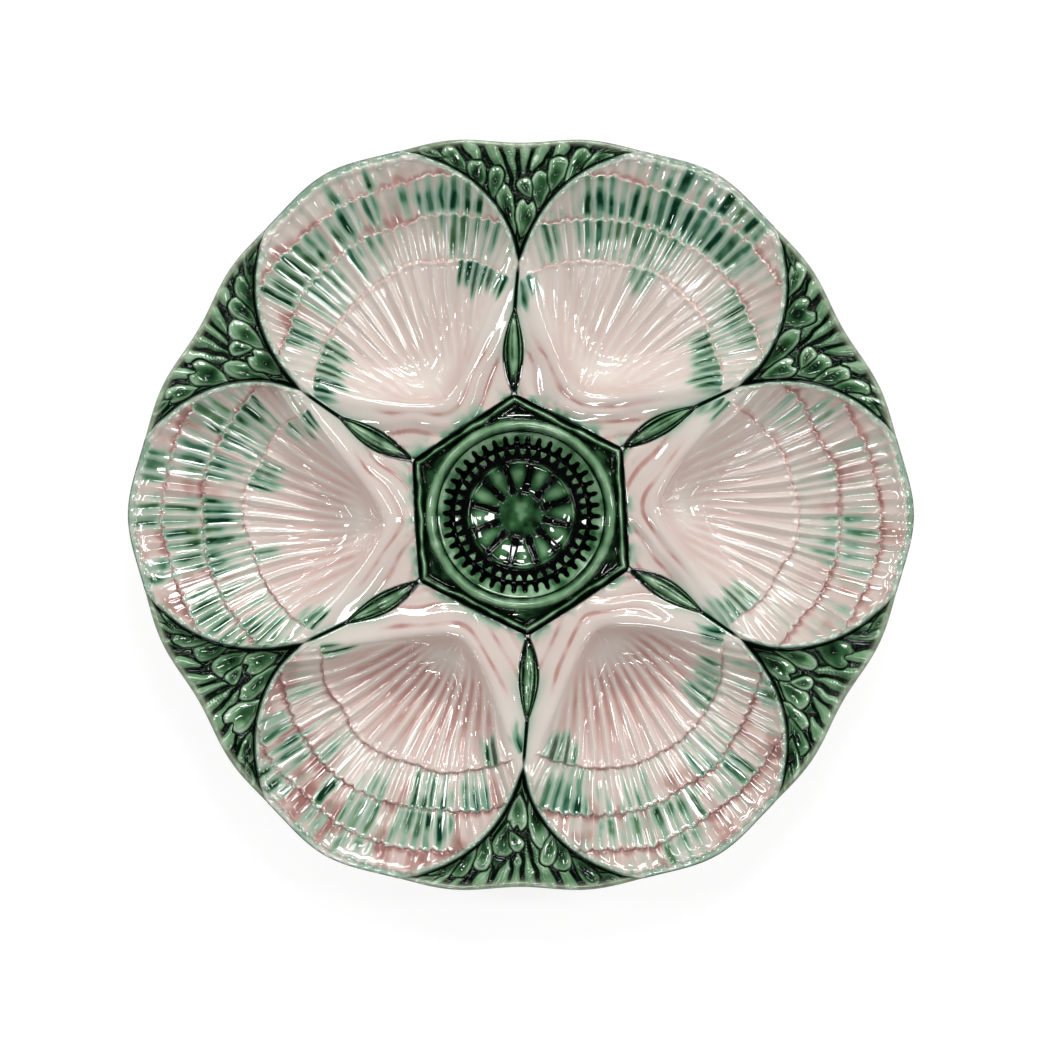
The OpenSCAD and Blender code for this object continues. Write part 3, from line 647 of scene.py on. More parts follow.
def well_places(index):
    """The places of a well's sheet, in rows from the focus out, with what the heights and colours need."""
    g = SimpleNamespace(index=index, seed=10 * index)
    g.psi_row = well_columns()
    g.far_row = well_reach(np.radians(g.psi_row))
    psi, share = np.meshgrid(g.psi_row, well_rows())
    g.psi = np.where(psi > 180, psi - 360, psi)
    g.rho = share * g.far_row
    g.inset = (1 - share) * g.far_row
    g.x, g.y = from_focus(g.psi, g.rho)
    g.r = np.hypot(g.x, g.y)
    g.from_rim = rim_at(np.arctan2(g.y, g.x)) - g.r
    g.behind = -inside_ridge(g.x, g.y)
    g.deep = ramp(-g.behind, -1, 5)
    g.near_hub = ramp(FOLD_END_R - g.r, -4, 8)
    g.beside_panel = ramp(g.r, SEAM_END_R - 1, SEAM_END_R + 4) * ramp(g.from_rim, 1, 5)
    g.at_seam = ramp(g.r, BUD_END_R - 3, BUD_END_R) * ramp(SEAM_END_R + 1 - g.r, 0, 2)
    g.ribs, g.flute, g.phase = rib_relief(g.psi, g.rho, g.seed)
    g.lift, g.foot, g.line, g.band, g.along = ring_relief(g.psi, g.rho, g.phase, g.seed)
    waves = np.sin(g.behind * 1.2 + 2.2 * noise(g.y / 11, g.x / 9, g.seed + 2))
    g.folds = waves * ramp(g.behind, 0.5, 4) * g.near_hub
    g.crimp = scallops(g.phase)
    g.margin = ramp(-g.from_rim, -MARGIN_W - 0.7 * g.crimp, -MARGIN_W - 0.7 * g.crimp + 0.5)
    return g


def well_height(g):
    """The bowl with its ribs and steps, the folds of the flange, the crimped margin and the rounded lip."""
    faded = 1 - RIM_FADE * ramp(-g.from_rim, -9, -1.5)
    fold_h = 0.24 * (0.6 + 0.8 * noise(g.y / 9, g.x / 9, g.seed + 6))
    z = top_at(g.x, g.y, WALL_SOFT) + (g.ribs + g.lift) * g.deep * faded
    z = z + fold_h * g.folds + 0.12 * rough(g.x / 11, g.y / 11, g.seed + 3)
    z = z + 0.35 * bump(g.inset, 1.7 + 0.6 * g.crimp, 0.8) * ramp(g.rho, 40, 50) * (1 - g.margin)
    z = z + 0.3 * bump(g.from_rim, MARGIN_W + 1 + 0.7 * g.crimp, 0.7) - 0.55 * g.margin
    near = 1 - np.clip(g.inset / (LIP_ROUND + 0.5 * g.beside_panel + 0.5 * g.at_seam), 0, 1)
    drop = 0.5 + 1.9 * g.beside_panel + 0.3 * g.margin + 1.0 * g.at_seam
    return z - drop * (1 - np.sqrt(1 - near ** 2 * 0.999))


def well_pink(g, cover):
    """Pink in the flutes, at the feet of the steps, in patches clear of the green, and in the folds, with a
    thin line at each step that is partly painted shadow.
    """
    blush = BLUSH[g.index]
    dirt = 0.6 + 0.55 * lattice(np.floor(2 * g.phase), g.band, g.seed + 31)
    soil = 0.8 + 0.4 * rough(g.x / 6, g.y / 6, g.seed + 9)
    in_flutes = g.flute * g.deep * blush * (0.36 * bump(g.rho, 20, 20) + 0.2 * dirt)
    # The step lines add painted shadow to the pooled pink
    pools_and_step_shadow = in_flutes + g.deep * (0.66 * g.foot * soil + 0.34 * g.line * dirt)
    patches = ramp(rough(g.x / 7, g.y / 7, g.seed + 8), -0.1, 0.6) * (0.04 + 0.42 * ramp(g.rho, 40, 62))
    between = (1 - cover) * ramp(g.rho, 44, 54) * in_fan(g.psi, 0, 12)
    patches = patches * (0.5 + 0.5 * blush) + 0.6 * between * blush * (dirt - 0.45)
    along_ridge = 0.3 * bump(-g.behind, 1.0, 2.2) * g.near_hub
    in_folds = 0.45 * ramp(-g.folds, 0.35, 1.0) * (0.5 + 0.8 * ramp(soil, 0.6, 1.0))
    on_flange = 0.16 * ramp(g.behind, 0, 4) * g.near_hub * soil
    return np.clip(pools_and_step_shadow + patches + along_ridge + in_folds + on_flange, 0, 1)


def well_green(g, streaks):
    """The streaks, and the green that ran in from the buds, the seaweed, the margin and the hexagon."""
    mottle = 0.55 + 0.5 * rough(g.x / 5, g.y / 5, g.seed + 4)
    bled_w = 1.7 if g.index in (1, 2) else 1.3
    bled = np.exp(-np.maximum(g.x - HEX_FLAT_R, 0) / bled_w)
    layers = [
        streaks * (1 - 0.7 * g.foot) * (1 - 0.85 * g.margin),
        0.55 * np.exp(-g.inset / 2.6) * ramp(g.r, 46, 58) * ramp(84 - g.r, 0, 10) * mottle,
        0.45 * np.exp(-(g.inset / 1.8) ** 2) * g.beside_panel * (0.6 + 0.4 * mottle),
        0.4 * g.margin * mottle,
        0.9 * bled * ramp(rough(g.x / 3.2, g.y / 3.2, g.seed + 12), -0.25, 0.35),
    ]
    return np.clip(np.maximum.reduce(layers), 0, 1)


def well_edge(g):
    """Dark green along the outline, and a thin dark line at the rim's very edge that is painted shade where
    the edge turns under.
    """
    edge = ramp(-g.inset, -1.0 - 0.5 * g.at_seam, -0.35 - 0.4 * g.at_seam)
    edge = edge * np.clip(0.9 * g.beside_panel + ramp(BUD_END_R + 14 - g.r, 0, 3), 0, 1)
    # The rim's very edge: painted shade where it turns under
    return np.maximum(edge, 0.75 * ramp(-g.from_rim, -0.55, -0.2))


def shell_well(index):
    """One scallop well: a fine fan-shaped sheet closed with walls and an underside."""
    turn = 2 * HALF_PITCH * index
    g = well_places(index)
    z = well_height(g)
    streaks, cover = streak_field(g)
    green = well_green(g, streaks)
    pink = well_pink(g, cover) * (1 - 0.75 * ramp(green, 0.05, 0.5)) * (1 - 0.8 * g.margin)
    top_paint = flat(pink, green, well_edge(g), np.ones_like(z))

    back_shares = np.concatenate([[1.0], np.linspace(0.985, 0.02, 20)])
    psi, share = np.meshgrid(g.psi_row, back_shares)
    bx, by = from_focus(psi, share * g.far_row)
    px, py = placed(FOCUS_X, 0.0, turn)
    poles = [[px, py, z[0].mean()], [px, py, back_at(FOCUS_X, 0.0)]]
    points = [flat(*placed(g.x, g.y, turn), z), flat(*placed(bx, by, turn), back_at(bx, by)), poles]
    paint = [top_paint, plain(SHELL_BACK, bx.size), top_paint[:1], [SHELL_BACK]]

    rows, cols = z.shape
    rows += len(back_shares)
    c = np.arange(cols)
    n = (c + 1) % cols
    last = (rows - 1) * cols
    pole = np.full(cols, rows * cols)
    faces = [grid_faces(rows, cols, closed=True), flat(pole, c, n), flat(pole + 1, last + n, last + c)]
    add_piece(points, faces, paint, "shell_glaze", f"shell_well_{index + 1}")


# Buds between the wells

def bud_divider(index):
    """A slim bud: a pale rounded seed with a furrow, between two thin ridges in a dark groove."""
    rows, cols = ((130, 45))
    u, v = np.meshgrid(np.linspace(0.004, 0.996, rows), np.linspace(-1, 1, cols), indexing="ij")
    r = HEX_CORNER_R + (BUD_END_R - HEX_CORNER_R) * u
    half = bud_half_w(r)
    a = np.arcsin(half * v / r)
    x, y = r * np.cos(a), r * np.sin(a)
    side_a = math.radians(HALF_PITCH) - np.arcsin(half / r)
    beside = r * np.cos(side_a), r * np.sin(side_a)
    seed_v = v + 0.08 * np.sin(4 * u + index)
    seed = np.sqrt(np.clip(1 - (seed_v / 0.6) ** 2, 0, 1)) * ramp(u, 0.06, 0.3) * ramp(-u, -0.97, -0.8)
    ridges = bump(np.abs(v), 0.83, 0.12) * ramp(u, 0.2, 0.45) * ramp(-u, -1.0, -0.9)
    furrow = bump(seed_v, 0.12, 0.13) * ramp(u, 0.3, 0.5) * ramp(-u, -0.92, -0.7)
    z = top_at(*beside, WALL_SOFT) - 0.45 + 1.6 * seed - 0.4 * furrow + 0.9 * ridges
    z = z + 0.12 * noise(x / 3, y / 3, 70 + index)
    tone = 0.05 + 0.62 * seed ** 0.8 - 0.26 * furrow + 0.12 * ramp(u, 0.4, 0.8) * seed + 0.5 * ridges
    tone = tone + 0.2 * rough(x / 3, y / 3, 80 + index) * np.maximum(seed, ridges)

    plan = placed(x, y, (2 * index + 1) * HALF_PITCH)
    loop = grid_outline(rows, cols)
    following = np.roll(loop, -1)
    faces = [
        grid_faces(rows, cols),
        grid_faces(rows, cols, start=z.size, flip=True),
        flat(loop, following, following + z.size, loop + z.size),
    ]
    points = [flat(*plan, z), flat(*plan, back_at(*beside))]
    paint = [green_paint(tone), plain(GREEN_BACK, z.size)]
    add_piece(points, faces, paint, "leaf_green_glaze", f"bud_divider_{index + 1}")


# Seaweed panels

# Leaves: along and across the panel in millimetres, length, width, turn, and how deep the end's notch is
LEAVES = [
    (97.2, 4.4, 16.4, 4.7, 12, 0.0),
    (94.6, -1.0, 11.6, 5.6, -4, 0.16),
    (103.6, -6.0, 11.4, 5.8, -6, 0.0),
    (103.9, -1.5, 6.6, 3.9, 30, 0.0),
    (107.8, -11.6, 10.6, 5.0, -20, 0.0),
    (110.4, -17.6, 11.6, 5.0, -38, 0.0),
    (112.9, -24.4, 11.8, 4.5, -58, 0.0),
    (116.3, -30.2, 7.4, 2.5, -74, 0.0),
    (113.0, 20.9, 10.8, 6.2, 46, 0.0),
    (116.0, 28.2, 7.6, 2.9, 72, 0.0),
]
HEART_LEFT = [(107.9, 11.3, 11.4, 9.8, 6, 0.34)]
PAIR_LEFT = [(107.8, 13.2, 11.0, 5.0, 8, 0.0), (106.4, 8.6, 9.8, 4.4, -10, 0.0)]
SPLIT_PANELS = (1, 4)

# Fronds: base, middle and tip as along and across, then the half widths there
FRONDS = [
    ((102.5, 3.2), (110.0, 6.0), (117.2, 9.2), (0.6, 1.9, 2.7)),
    ((103.5, 1.6), (111.0, 2.3), (117.5, 3.6), (0.6, 1.5, 2.3)),
    ((106.0, -0.4), (112.0, -1.4), (117.5, -1.9), (0.6, 1.5, 2.2)),
    ((110.0, -3.6), (113.5, -5.4), (117.6, -7.2), (0.9, 1.9, 2.5)),
    ((112.6, -10.0), (115.4, -12.6), (117.4, -13.6), (1.0, 1.9, 2.6)),
    ((114.6, -17.8), (116.4, -20.0), (118.4, -22.6), (0.8, 1.3, 1.6)),
    ((112.5, 13.0), (115.5, 14.6), (118.6, 16.5), (1.4, 2.0, 2.6)),
    ((115.5, 22.0), (117.4, 24.0), (119.4, 26.0), (0.8, 1.4, 1.8)),
    ((81.5, 0.9), (86.0, 1.5), (90.5, 2.2), (0.4, 0.6, 0.9)),
]
RIM_BAND_W = 1.9
LEAF_H = 2.6
LEAF_LENGTHEN = 1.08
LEAF_WIDEN = 1.42
LEAF_GAP = 0.6


def shoulder(inside):
    """Height of a leaf over its outline: a steep foot, a sloping shoulder, then level."""
    d = np.maximum(inside, 0)
    return 0.34 * (1 - np.exp(-d / 0.13)) + 0.285 * (d - softened(d - 1.8, 0.12))


def leaf_field(x, y, leaf, seed):
    """Height and shade of one spoon-shaped leaf, and how deep inside its outline a place is."""
    along, across, length, width, turn, notch = leaf
    c, s = math.cos(math.radians(turn)), math.sin(math.radians(turn))
    dx, dy = x - along, y - across
    u = (dx * c + dy * s) / (length / 2)
    v = (dy * c - dx * s) / (width / 2)
    u = u + 0.08 * noise(y / 2, x / 2, seed)
    taper = np.clip((1 + u) / 2 + 0.06, 0.02, 1) ** 0.5
    cut = notch * 2.2 * np.exp(-(v / 0.2) ** 2) * ramp(u, 0.1, 0.9)
    blunt = np.where(u > 0, np.abs(u) ** 2.6, u ** 2)
    reach = np.sqrt(blunt + (v / taper) ** 2)
    slope = np.hypot(np.where(u > 0, 1.3 * np.abs(u) ** 1.6, u) * 2 / length, v / taper ** 2 * 2 / width)
    inside = (1 - reach - cut) * np.maximum(reach, 0.02) / np.maximum(slope, 0.3 / width)
    hollow = np.exp(-((u - 0.1) / 0.6) ** 2 - (v / 0.5) ** 2)
    height = shoulder(inside) * (1 - 0.2 * hollow) * (0.7 + 0.3 * ramp(u, -1, 0.5))
    luck = noise(along, across, seed)
    pale_edge = 0.34 * bump(inside, 0.7, 0.45) * (0.6 + 0.4 * luck)
    shade = 0.54 + pale_edge - 0.38 * hollow + 0.18 * ramp(u, -0.6, 0.8) + 0.08 * luck
    return height, shade * ramp(inside, -0.3, 0.25), inside


def frond_reach(x, y, frond):
    """How deep inside one frond a place is: a strip along a curve, widening to its tip."""
    base, middle, tip, widths = frond
    best = np.full(x.shape, -9.0)
    for t in np.linspace(0, 1, 15):
        q = [(1 - t) ** 2 * base[i] + 2 * t * (1 - t) * middle[i] + t ** 2 * tip[i] for i in (0, 1)]
        w = np.interp(t, (0, 0.5, 1), widths)
        best = np.maximum(best, w - np.hypot(x - q[0], y - q[1]))
    return best


def panel_side_angle(r):
    """Half the angle in radians that a panel spans at radius r, between its two shells' arcs."""
    c = (r ** 2 + SHELL_C ** 2 - SHELL_R ** 2) / (2 * r * SHELL_C)
    return math.radians(HALF_PITCH) - np.arccos(np.clip(c, -1, 1))


def corner_radius():
    """Where a panel's side meets the rim, found by halving."""
    low, high = SEAM_END_R + 5, RIM_TIP_R
    for _ in range(40):
        mid = (low + high) / 2
        a = math.radians(HALF_PITCH) - float(panel_side_angle(np.array(mid)))
        low, high = (mid, high) if mid < rim_at(a) else (low, mid)
    return low


def panel_places(index):
    """The places of a panel, in rows from the seam out, with what the heights and colours need."""
    g = SimpleNamespace(index=index, seed=500 + 20 * index)
    rows, cols = ((190, 301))
    shares = 1 - (1 - np.linspace(0.0, 1.0, rows)) ** 1.12
    u, v = np.meshgrid(shares, np.linspace(-1, 1, cols), indexing="ij")
    corner_r = corner_radius()
    corner_a = float(panel_side_angle(np.array(corner_r)))
    start_r = SEAM_END_R + 0.3
    side_a = panel_side_angle(start_r + u * (corner_r - start_r))
    end_r = rim_at(v * corner_a + math.radians(HALF_PITCH))
    g.r = start_r + u * (end_r - start_r)
    g.x, g.y = g.r * np.cos(v * side_a), g.r * np.sin(v * side_a)
    g.warped_x = g.x + 0.25 * noise(g.x / 2.9, g.y / 2.9, g.seed + 40)
    g.warped_y = g.y + 0.25 * noise(g.x / 2.9, g.y / 2.9, g.seed + 41)
    g.from_rim = end_r - g.r
    g.band = ramp(-g.from_rim, -RIM_BAND_W - 1.2, -RIM_BAND_W + 0.6)
    side_gap = (side_a - np.abs(v * side_a)) * g.r
    g.groove = ramp(-side_gap, -1.0, -0.5) * (1 - g.band)
    g.cord = bump(side_gap, 1.5 + 0.2 * noise(g.r / 3, 0.0, g.seed + 30), 0.45) * (1 - g.band)
    return g


def nudged(leaf, luck):
    """A leaf a little off its listed place, size and turn."""
    along, across, length, width, turn, notch = leaf
    widen = LEAF_WIDEN if width < 6 else LEAF_LENGTHEN
    along, across = along + 0.35 * luck[0], across + 0.35 * luck[1]
    length, width = length * LEAF_LENGTHEN * (1 + 0.04 * luck[2]), width * widen * (1 + 0.04 * luck[3])
    return along, across, length, width, turn + 3 * luck[4], notch


def lay_leaves(g):
    """The leaves one over another: their height, their tone and the ground they hide. Then the fronds."""
    rng = np.random.default_rng(g.seed)
    g.relief, g.leaf_tone, g.hidden = (np.zeros_like(g.x) for _ in range(3))
    nearest = np.full_like(g.x, -9.0)
    for i, leaf in enumerate(LEAVES + (PAIR_LEFT if g.index in SPLIT_PANELS else HEART_LEFT)):
        moved = nudged(leaf, rng.normal(0, 1, 5))
        height, shade, inside = leaf_field(g.warped_x, g.warped_y, moved, g.seed + i)
        clear = ramp(-inside, -0.1, LEAF_GAP)
        over = inside > -LEAF_GAP
        g.relief = np.where(over, np.maximum(height, g.relief * clear), g.relief)
        g.leaf_tone = np.where(over, np.maximum(shade, g.leaf_tone * clear), g.leaf_tone)
        g.hidden = np.maximum(g.hidden, ramp(inside, -LEAF_GAP, -0.1))
        nearest = np.maximum(nearest, inside)
    frond_y = g.y + 2.2 * (g.warped_y - g.y)
    g.in_frond = np.maximum.reduce([frond_reach(g.warped_x, frond_y, frond) for frond in FRONDS])
    g.filled = ramp(-np.maximum(nearest, g.in_frond), 0.35, 1.0)
    g.cord = g.cord * (1 - g.hidden)


def panel_height(g):
    """Leaves, fronds, the ground filled between them, the rim band and the cord along the sides."""
    fronds = shoulder(g.in_frond) * (1 - g.hidden)
    layers = [g.relief, fronds, 0.3 * g.filled, 0.8 * g.band, 0.5 * g.cord]
    relief = np.maximum.reduce(layers) * (1 - g.groove)
    round_rim = 1 - np.sqrt(1 - (1 - np.clip(g.from_rim / 1.3, 0, 1)) ** 2 * 0.999)
    z = ground_plane(g.x) - 0.7 + LEAF_H * relief - 0.3 * g.groove - 1.3 * round_rim
    return z + 0.1 * rough(g.x / 5, g.y / 5, g.seed + 9)


def panel_tone(g):
    """How far each place stands out of the dark hollows, for its colour, with painted shade along the rim's
    very edge.
    """
    fronds = ramp(g.in_frond, -0.1, 0.8) * (0.45 + 0.24 * ramp(g.r, 104, 117)) * (1 - g.hidden)
    mottle = (0.06 + 0.08 * g.filled) * rough(g.x / 3, g.y / 3, g.seed + 10)
    ground = (0.05 + 0.24 * g.filled + mottle) * (1 - g.hidden)
    tone = np.maximum.reduce([ground, g.leaf_tone, fronds, 0.56 * g.band, 0.6 * g.cord])
    tone = (tone + 0.2 * rough(g.x / 4, g.y / 4, g.seed + 11) * (tone > 0.2)) * (1 - g.groove)
    # Darker at the rim's very edge: painted shade where it turns under
    return np.where(g.from_rim < 0.35, 0.62 * tone, tone)


def rim_panel(index):
    """The seaweed panel: dark ground, leaves and fronds on it, and a pale band along the rim."""
    g = panel_places(index)
    lay_leaves(g)
    z = panel_height(g)
    plan = placed(g.x, g.y, (2 * index + 1) * HALF_PITCH)
    loop = grid_outline(*z.shape)
    low = z.size + np.arange(len(loop))
    faces = [grid_faces(*z.shape), flat(loop, np.roll(loop, -1), np.roll(low, -1), low), low[None, :]]
    points = [flat(*plan, z), flat(*plan, back_dish(g.r))[loop]]
    paint = [green_paint(panel_tone(g), 0.22 * g.band), plain(GREEN_BACK, len(loop))]
    names = (f"rim_panel_{index + 1}", f"seaweed_sprig_{index + 1}")
    add_piece(points, faces, paint, "deep_green_glaze", *names)


# The hub. Each relief gives height and how far a place stands out of the hollows, by radius and radians; the
# rosette's also holds painted shade and a painted highlight

TEETH = 42
BEADS = 38
PETALS = 12
SOLE_ROUND = 0.9
FOOT_SINK = 1.2


def rosette_relief(r, angle):
    """A flat eye and twelve petals, each with a dimple, parted by slots that widen inwards. The petals' tone
    carries painted shade and a painted highlight.
    """
    petal = angle * PETALS / (2 * np.pi)
    pitch = 2 * np.pi / PETALS
    across = np.abs(petal - np.floor(petal) - 0.5) * pitch * r
    slot_w = 1.1 - 0.5 * ramp(r, 7, 16)
    slot = ramp(-across, -slot_w - 0.3, -slot_w + 0.3) * ramp(r, 6.4, 8.6) * ramp(-r, -16.4, -15.2)
    crown = 0.45 + 0.57 * (softened(r - 8.2, 0.7) - softened(r - 15.8, 0.4))
    crown = crown + 0.1 * noise(r * np.cos(angle) / 3, r * np.sin(angle) / 3, 907)
    off_middle = (petal - np.round(petal)) * pitch * r
    dimple = 0.5 * bump(off_middle, 0, 1.9) * bump(r, 14.4, 1.2)
    edge = np.sqrt(np.clip((17.7 - r) / 0.9, 0, 1))
    z = FLOOR_Z + np.maximum(crown * edge - 1.7 * slot - 0.4 * dimple, -0.1)
    # Tone: petals lighter in their middles and darker towards the eye and along the slots' edges, which is
    # painted shade, with a painted highlight line round the petals' tips
    tone = 0.54 * bump(r, 0.0, 7.5) + 0.58 * bump(r, 13.2, 5.0) * bump(off_middle, 0, 3.4) - 0.5 * slot
    return z, tone + 0.3 * bump(r, 17.0, 0.4) - 0.12 * bump(across, slot_w, 0.9) * ramp(r, 7, 9)


def bead_relief(r, angle):
    """A groove, then small beads that are wide outside and round inside."""
    wave = np.cos(angle * BEADS)
    reach = 20.9 - 1.75 * np.sqrt(np.clip(0.15 + wave, 0, 1.15) / 1.15)
    inside = ramp(r - reach, -0.2, 0.3) * ramp(21.35 - r, -0.1, 0.35) * ramp(wave, -0.75, -0.3)
    return FLOOR_Z + 0.2 + 3.4 * inside + 0.5 * (r - 19) * inside, 0.56 * inside


def tooth_relief(r, angle):
    """Rounded tongues that point inwards from a sloping band."""
    luck = chance(np.floor(angle * TEETH / (2 * np.pi)) % TEETH, 77)
    wave = np.cos(angle * TEETH) + 0.3 * (luck - 0.5)
    slot_top = 25.2 + 0.8 * (luck - 0.5) - 0.8 * ramp(wave, -1, -0.1)
    between = ramp(-wave, 0.0, 0.55) * ramp(slot_top - r, -0.3, 0.6)
    tip_r = 22.2 + 0.7 * (1 - np.clip(wave + 0.2, 0, 1))
    body = ramp(r - tip_r, -0.15, 0.5) * (1 - between)
    slope = RING_SEAT_Z - 3.8 + 4.3 * ramp(r, 21.5, 26.8)
    low = FLOOR_Z + 0.4 + 4.2 * ramp(r, 21.9, 25)
    return low + (slope - low) * body, (0.56 + 0.1 * bump(r, 25.4, 0.9) + 0.14 * (luck - 0.5)) * body


def seat_relief(r, angle):
    """The narrow seam between the teeth and the rolled rim."""
    return RING_SEAT_Z - 0.3, 0.2


def rolled_relief(r, angle):
    """The rolled rim, round on top."""
    rolled = np.sqrt(np.clip(1 - ((r - 28.75) / 1.75) ** 2, 0, 1))
    return RING_SEAT_Z + 0.3 + 3.5 * rolled, 0.2 + 0.5 * rolled


def collar_relief(r, angle):
    """The hexagonal ridge and the hollows in its corners."""
    inset = HEX_FLAT_R - r * np.cos(from_axis(angle))
    ridge = bump(inset + 0.35 * noise(r * np.cos(angle) / 5, r * np.sin(angle) / 5, 905), 1.6, 0.9)
    corner = ramp(r, 30.8, 35.8)
    tone = 0.05 + 0.26 * ramp(inset, 2.4, 4.6) * (1 - 0.7 * corner) + 0.62 * ridge ** 1.4
    return RING_SEAT_Z - 0.8 - 1.5 * corner * (1 - ridge) + 3.2 * ridge, tone


# From one radius to another, where a later one lies over an earlier one
HUB_RELIEFS = (
    (0.0, 17.7, rosette_relief),
    (17.7, 21.9, bead_relief),
    (21.9, 26.9, tooth_relief),
    (26.6, 27.1, seat_relief),
    (27.0, 30.5, rolled_relief),
    (30.5, PLATE_R, collar_relief),
)


def hexagon_limit(angle):
    return HEX_FLAT_R / np.cos(from_axis(angle))


def circle(cols):
    return np.linspace(0, 2 * np.pi, cols, endpoint=False)


def hub_piece(name, inner, outer, rows, cols, under_z, slot):
    """A ring, disc or hexagon cut from the hub's relief and closed underneath."""
    limit = outer(circle(cols)) if callable(outer) else np.full(cols, outer)
    r = inner + np.linspace(0, 1, rows)[:, None] * (limit - inner)
    angle = np.broadcast_to(circle(cols), r.shape)
    z, tone = np.zeros_like(r), np.zeros_like(r)
    for start, end, relief in HUB_RELIEFS:
        here = (r >= start) & (r < end)
        height, shade = relief(r, angle)
        z, tone = np.where(here, height, z), np.where(here, shade, tone)
    turned = angle + math.radians(HUB_TWIST)
    x, y = r * np.cos(turned), r * np.sin(turned)
    z = z + 0.08 * noise(x / 7, y / 7, 900)
    patchy = 0.32 - 0.2 * bump(r, 11.5, 5.0) - 0.2 * bump(r, 28.75, 2.0)
    tone = tone + patchy * rough(x / 3.2, y / 3.2, 901) * ramp(tone, 0.05, 0.3)

    ends = [-1, 0]
    points = [flat(x, y, z), flat(x[ends], y[ends], np.full((2, cols), under_z))]
    faces = [grid_faces(rows + 2, cols, closed=True, around=True)]
    add_piece(points, faces, [green_paint(tone), plain(GREEN_BACK, 2 * cols)], slot, name)


def hub():
    """The pieces with relief: inner and outer radius, rows, columns, underside and material."""
    fine = 2
    deep, leaf = "deep_green_glaze", "leaf_green_glaze"
    hub_piece("rosette", 0.05, 17.72, 40 * fine, 360 * fine, FLOOR_Z - 0.5, deep)
    hub_piece("bead_ring", 17.66, 21.95, 16 * fine, 760 * fine, FLOOR_Z - 0.6, leaf)
    hub_piece("tooth_ring", 21.85, 27.05, 18 * fine, 756 * fine, FLOOR_Z - 0.4, leaf)
    hub_piece("sauce_well_rim", 26.95, 30.52, 14 * fine, 360, RING_SEAT_Z - 3, leaf)
    hub_piece("hex_collar", 30.4, hexagon_limit, 16 * fine, 720, HUB_BACK_Z, leaf)


def sauce_well():
    """The cup's body under the relief, turned from a profile of radii and heights."""
    radii = [0.02, 0.3, CUP_BASE_R - 1, CUP_BASE_R, CUP_BASE_R + 1.2, 30.0, 30.4, 30.4, 26.98, 26.98, 0.02]
    heights = [
        FOOT_H, FOOT_H, FOOT_H, FOOT_H, FOOT_H + 0.35, HUB_BACK_Z - 0.1, HUB_BACK_Z,
        RING_SEAT_Z - 2, RING_SEAT_Z - 2, FLOOR_Z - 0.2, FLOOR_Z - 0.2,
    ]
    cols = 240
    r, angle = np.meshgrid(radii, circle(cols), indexing="ij")
    z = np.broadcast_to(np.array(heights)[:, None], r.shape)
    faces = [grid_faces(len(radii), cols, closed=True, around=True, flip=True)]
    points = [flat(r * np.cos(angle), r * np.sin(angle), z)]
    add_piece(points, faces, [plain(GREEN_BACK, z.size)], "deep_green_glaze", "sauce_well")


def foot_ring():
    """The turned foot, with its top sunk into the casting so that it meets the back everywhere."""
    cols = 360
    inner, outer = FOOT_R - FOOT_W / 2, FOOT_R + FOOT_W / 2
    arc = np.linspace(0, math.pi / 2, 6)
    fall, run = SOLE_ROUND - SOLE_ROUND * np.cos(arc), SOLE_ROUND - SOLE_ROUND * np.sin(arc)
    rings = [*zip(inner + run[::-1], fall[::-1]), *zip(outer - run, fall)]
    local = from_axis(circle(cols)) - math.radians(twist_at(FOOT_R))
    for r, spread in ((outer, 0.9), (inner, -0.9)):
        rings.append((r + spread, back_at(r * np.cos(local), r * np.sin(local)) + FOOT_SINK))
    points = [flat(r * np.cos(circle(cols)), r * np.sin(circle(cols)), z + np.zeros(cols)) for r, z in rings]
    faces = [grid_faces(len(rings), cols, closed=True, around=True)]
    add_piece(points, faces, [plain(FOOT_PAINT, len(rings) * cols)], "shell_glaze", "foot_ring")


for k in range(WELLS):
    shell_well(k)
    bud_divider(k)
    rim_panel(k)
hub()
sauce_well()
foot_ring()


# Floor, backdrop, light and camera

PHOTO_PX = 1046
MM_PER_PX = 0.318
PLATE_MIDDLE_PX = (520.9, 514.8)

# In metres, as the stage's sizes are
CAMERA_UP = 2.4
RIM_UP = 0.024
FLOOR_HALF = 6.0
LAMP_AWAY = 1.6
GLINT_SIZE = (0.12, 0.06)

GLINT_POWER = 0.45
FULL_WHITE = (1, 1, 1, 1)
PAPER_GREY = (0.8, 0.8, 0.8, 1)
SEEN_GREY = (0.25, 0.25, 0.25, 1)
FLOOR_GLOW = 0.82
FILL_STRENGTH = 0.03
SENSOR_W = 36.0

# Softboxes: azimuth and elevation, width and height in metres, power in watts
LIGHTS = [
    ("key", 84, 56, (0.44, 0.12), 4.8),
    ("left", 174, 42, (0.16, 0.4), 4.2),
    ("right", 6, 44, (0.16, 0.4), 3.8),
    ("front", 256, 54, (0.4, 0.12), 4.4),
    ("fans_left", 128, 50, (0.22, 0.2), 1.1),
    ("fans_right", 50, 50, (0.22, 0.2), 0.9),
    ("strip_top", 76, 29, (0.9, 0.2), 12.0),
    ("strip_top_left", 142, 29, (0.5, 0.16), 4.0),
    ("strip_top_right", 12, 29, (0.5, 0.16), 3.4),
    ("strip_left", 205, 20, (0.4, 0.08), 0.9),
    ("strip_front", 270, 20, (0.4, 0.08), 0.9),
    ("strip_right", 330, 20, (0.4, 0.08), 0.9),
]

# Small bright lamps for the many glints of the glaze: azimuth and elevation
GLINTS = [(205, 50), (232, 64), (300, 52), (328, 62), (100, 68), (20, 70), (96, 44)]


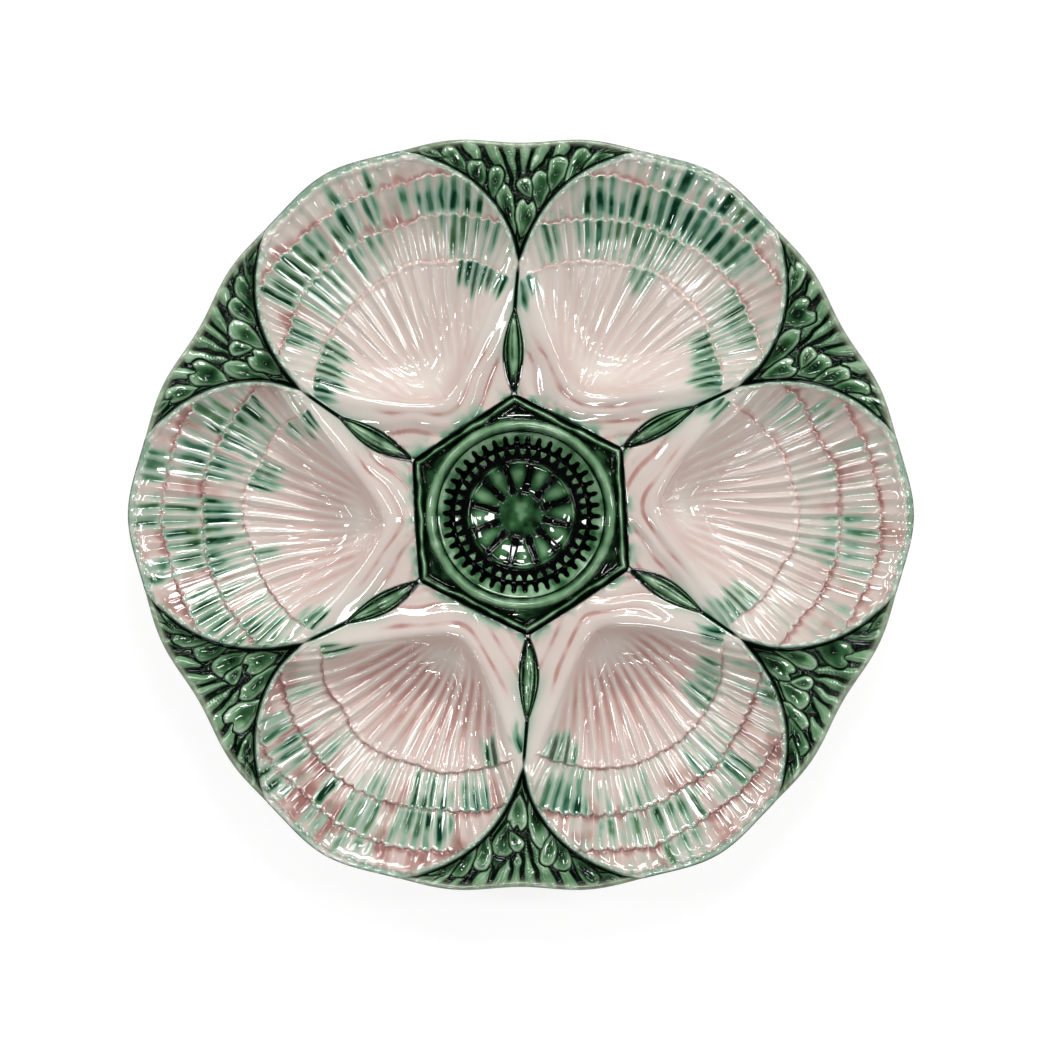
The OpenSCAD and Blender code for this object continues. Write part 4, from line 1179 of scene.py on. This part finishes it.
def white_floor():
    """A white floor that shows as paper white and keeps a little of the plate's shadow."""
    mesh = bpy.data.meshes.new("floor")
    s = FLOOR_HALF
    mesh.from_pydata([(-s, -s, 0), (s, -s, 0), (s, s, 0), (-s, s, 0)], [], [(0, 1, 2, 3)])
    floor = bpy.data.objects.new("floor", mesh)
    show(floor)
    m = Nodes(bpy.data.materials.new("floor_white"))
    rays = m.new("ShaderNodeLightPath").outputs
    seen = m.maths("MAXIMUM", rays["Is Camera Ray"], rays["Is Glossy Ray"])
    seen = m.maths("MAXIMUM", seen, rays["Is Transmission Ray"])
    paper, shown = (m.new("ShaderNodeBsdfDiffuse", {"Color": grey}) for grey in (PAPER_GREY, SEEN_GREY))
    glow = m.new("ShaderNodeEmission", {"Color": FULL_WHITE, "Strength": FLOOR_GLOW})
    both = m.new("ShaderNodeAddShader", {0: shown.outputs[0], 1: glow.outputs[0]})
    pick = m.new("ShaderNodeMixShader", {0: seen, 1: paper.outputs[0], 2: both.outputs[0]})
    mesh.materials.append(m.finished(pick))


def softbox(name, azimuth, elevation, size, power):
    """A rectangular light that looks at the plate. Azimuth 0 is +X and 90 is +Y."""
    light = bpy.data.lights.new(name, "AREA")
    light.shape = "RECTANGLE"
    light.size, light.size_y = size
    light.energy = power
    lamp = bpy.data.objects.new(name, light)
    a, e = math.radians(azimuth), math.radians(elevation)
    place = Vector((math.cos(e) * math.cos(a), math.cos(e) * math.sin(a), math.sin(e))) * LAMP_AWAY
    lamp.location = place
    lamp.rotation_euler = (-place).to_track_quat("-Z", "Y").to_euler()
    show(lamp)


def world():
    """White to the camera, and a faint fill to everything else."""
    m = Nodes(bpy.data.worlds.new("studio"), "ShaderNodeOutputWorld")
    seen = m.new("ShaderNodeLightPath").outputs["Is Camera Ray"]
    strengths = (FILL_STRENGTH, 1.0)
    skies = [m.new("ShaderNodeBackground", {"Color": FULL_WHITE, "Strength": s}) for s in strengths]
    pick = m.new("ShaderNodeMixShader", {0: seen, 1: skies[0].outputs[0], 2: skies[1].outputs[0]})
    bpy.context.scene.world = m.finished(pick)


def camera():
    """Straight above the middle of the photo, wide enough for its whole width at the rim's height."""
    lens = bpy.data.cameras.new("camera")
    view = bpy.data.objects.new("camera", lens)
    middle = PHOTO_PX / 2
    x = (middle - PLATE_MIDDLE_PX[0]) * MM_PER_PX * MM
    y = -(middle - PLATE_MIDDLE_PX[1]) * MM_PER_PX * MM
    view.location = (x, y, CAMERA_UP)
    view.rotation_euler = (0, 0, 0)
    lens.sensor_fit = "HORIZONTAL"
    lens.sensor_width = SENSOR_W
    lens.lens = SENSOR_W * (CAMERA_UP - RIM_UP) / (PHOTO_PX * MM_PER_PX * MM)
    lens.clip_end = 50
    show(view)
    bpy.context.scene.camera = view


white_floor()
world()
camera()
for name, azimuth, elevation, size, power in LIGHTS:
    softbox(name, azimuth, elevation, size, power)
for i, (azimuth, elevation) in enumerate(GLINTS):
    softbox(f"glint_{i + 1}", azimuth, elevation, GLINT_SIZE, GLINT_POWER)
bpy.context.scene.view_settings.view_transform = "Standard"
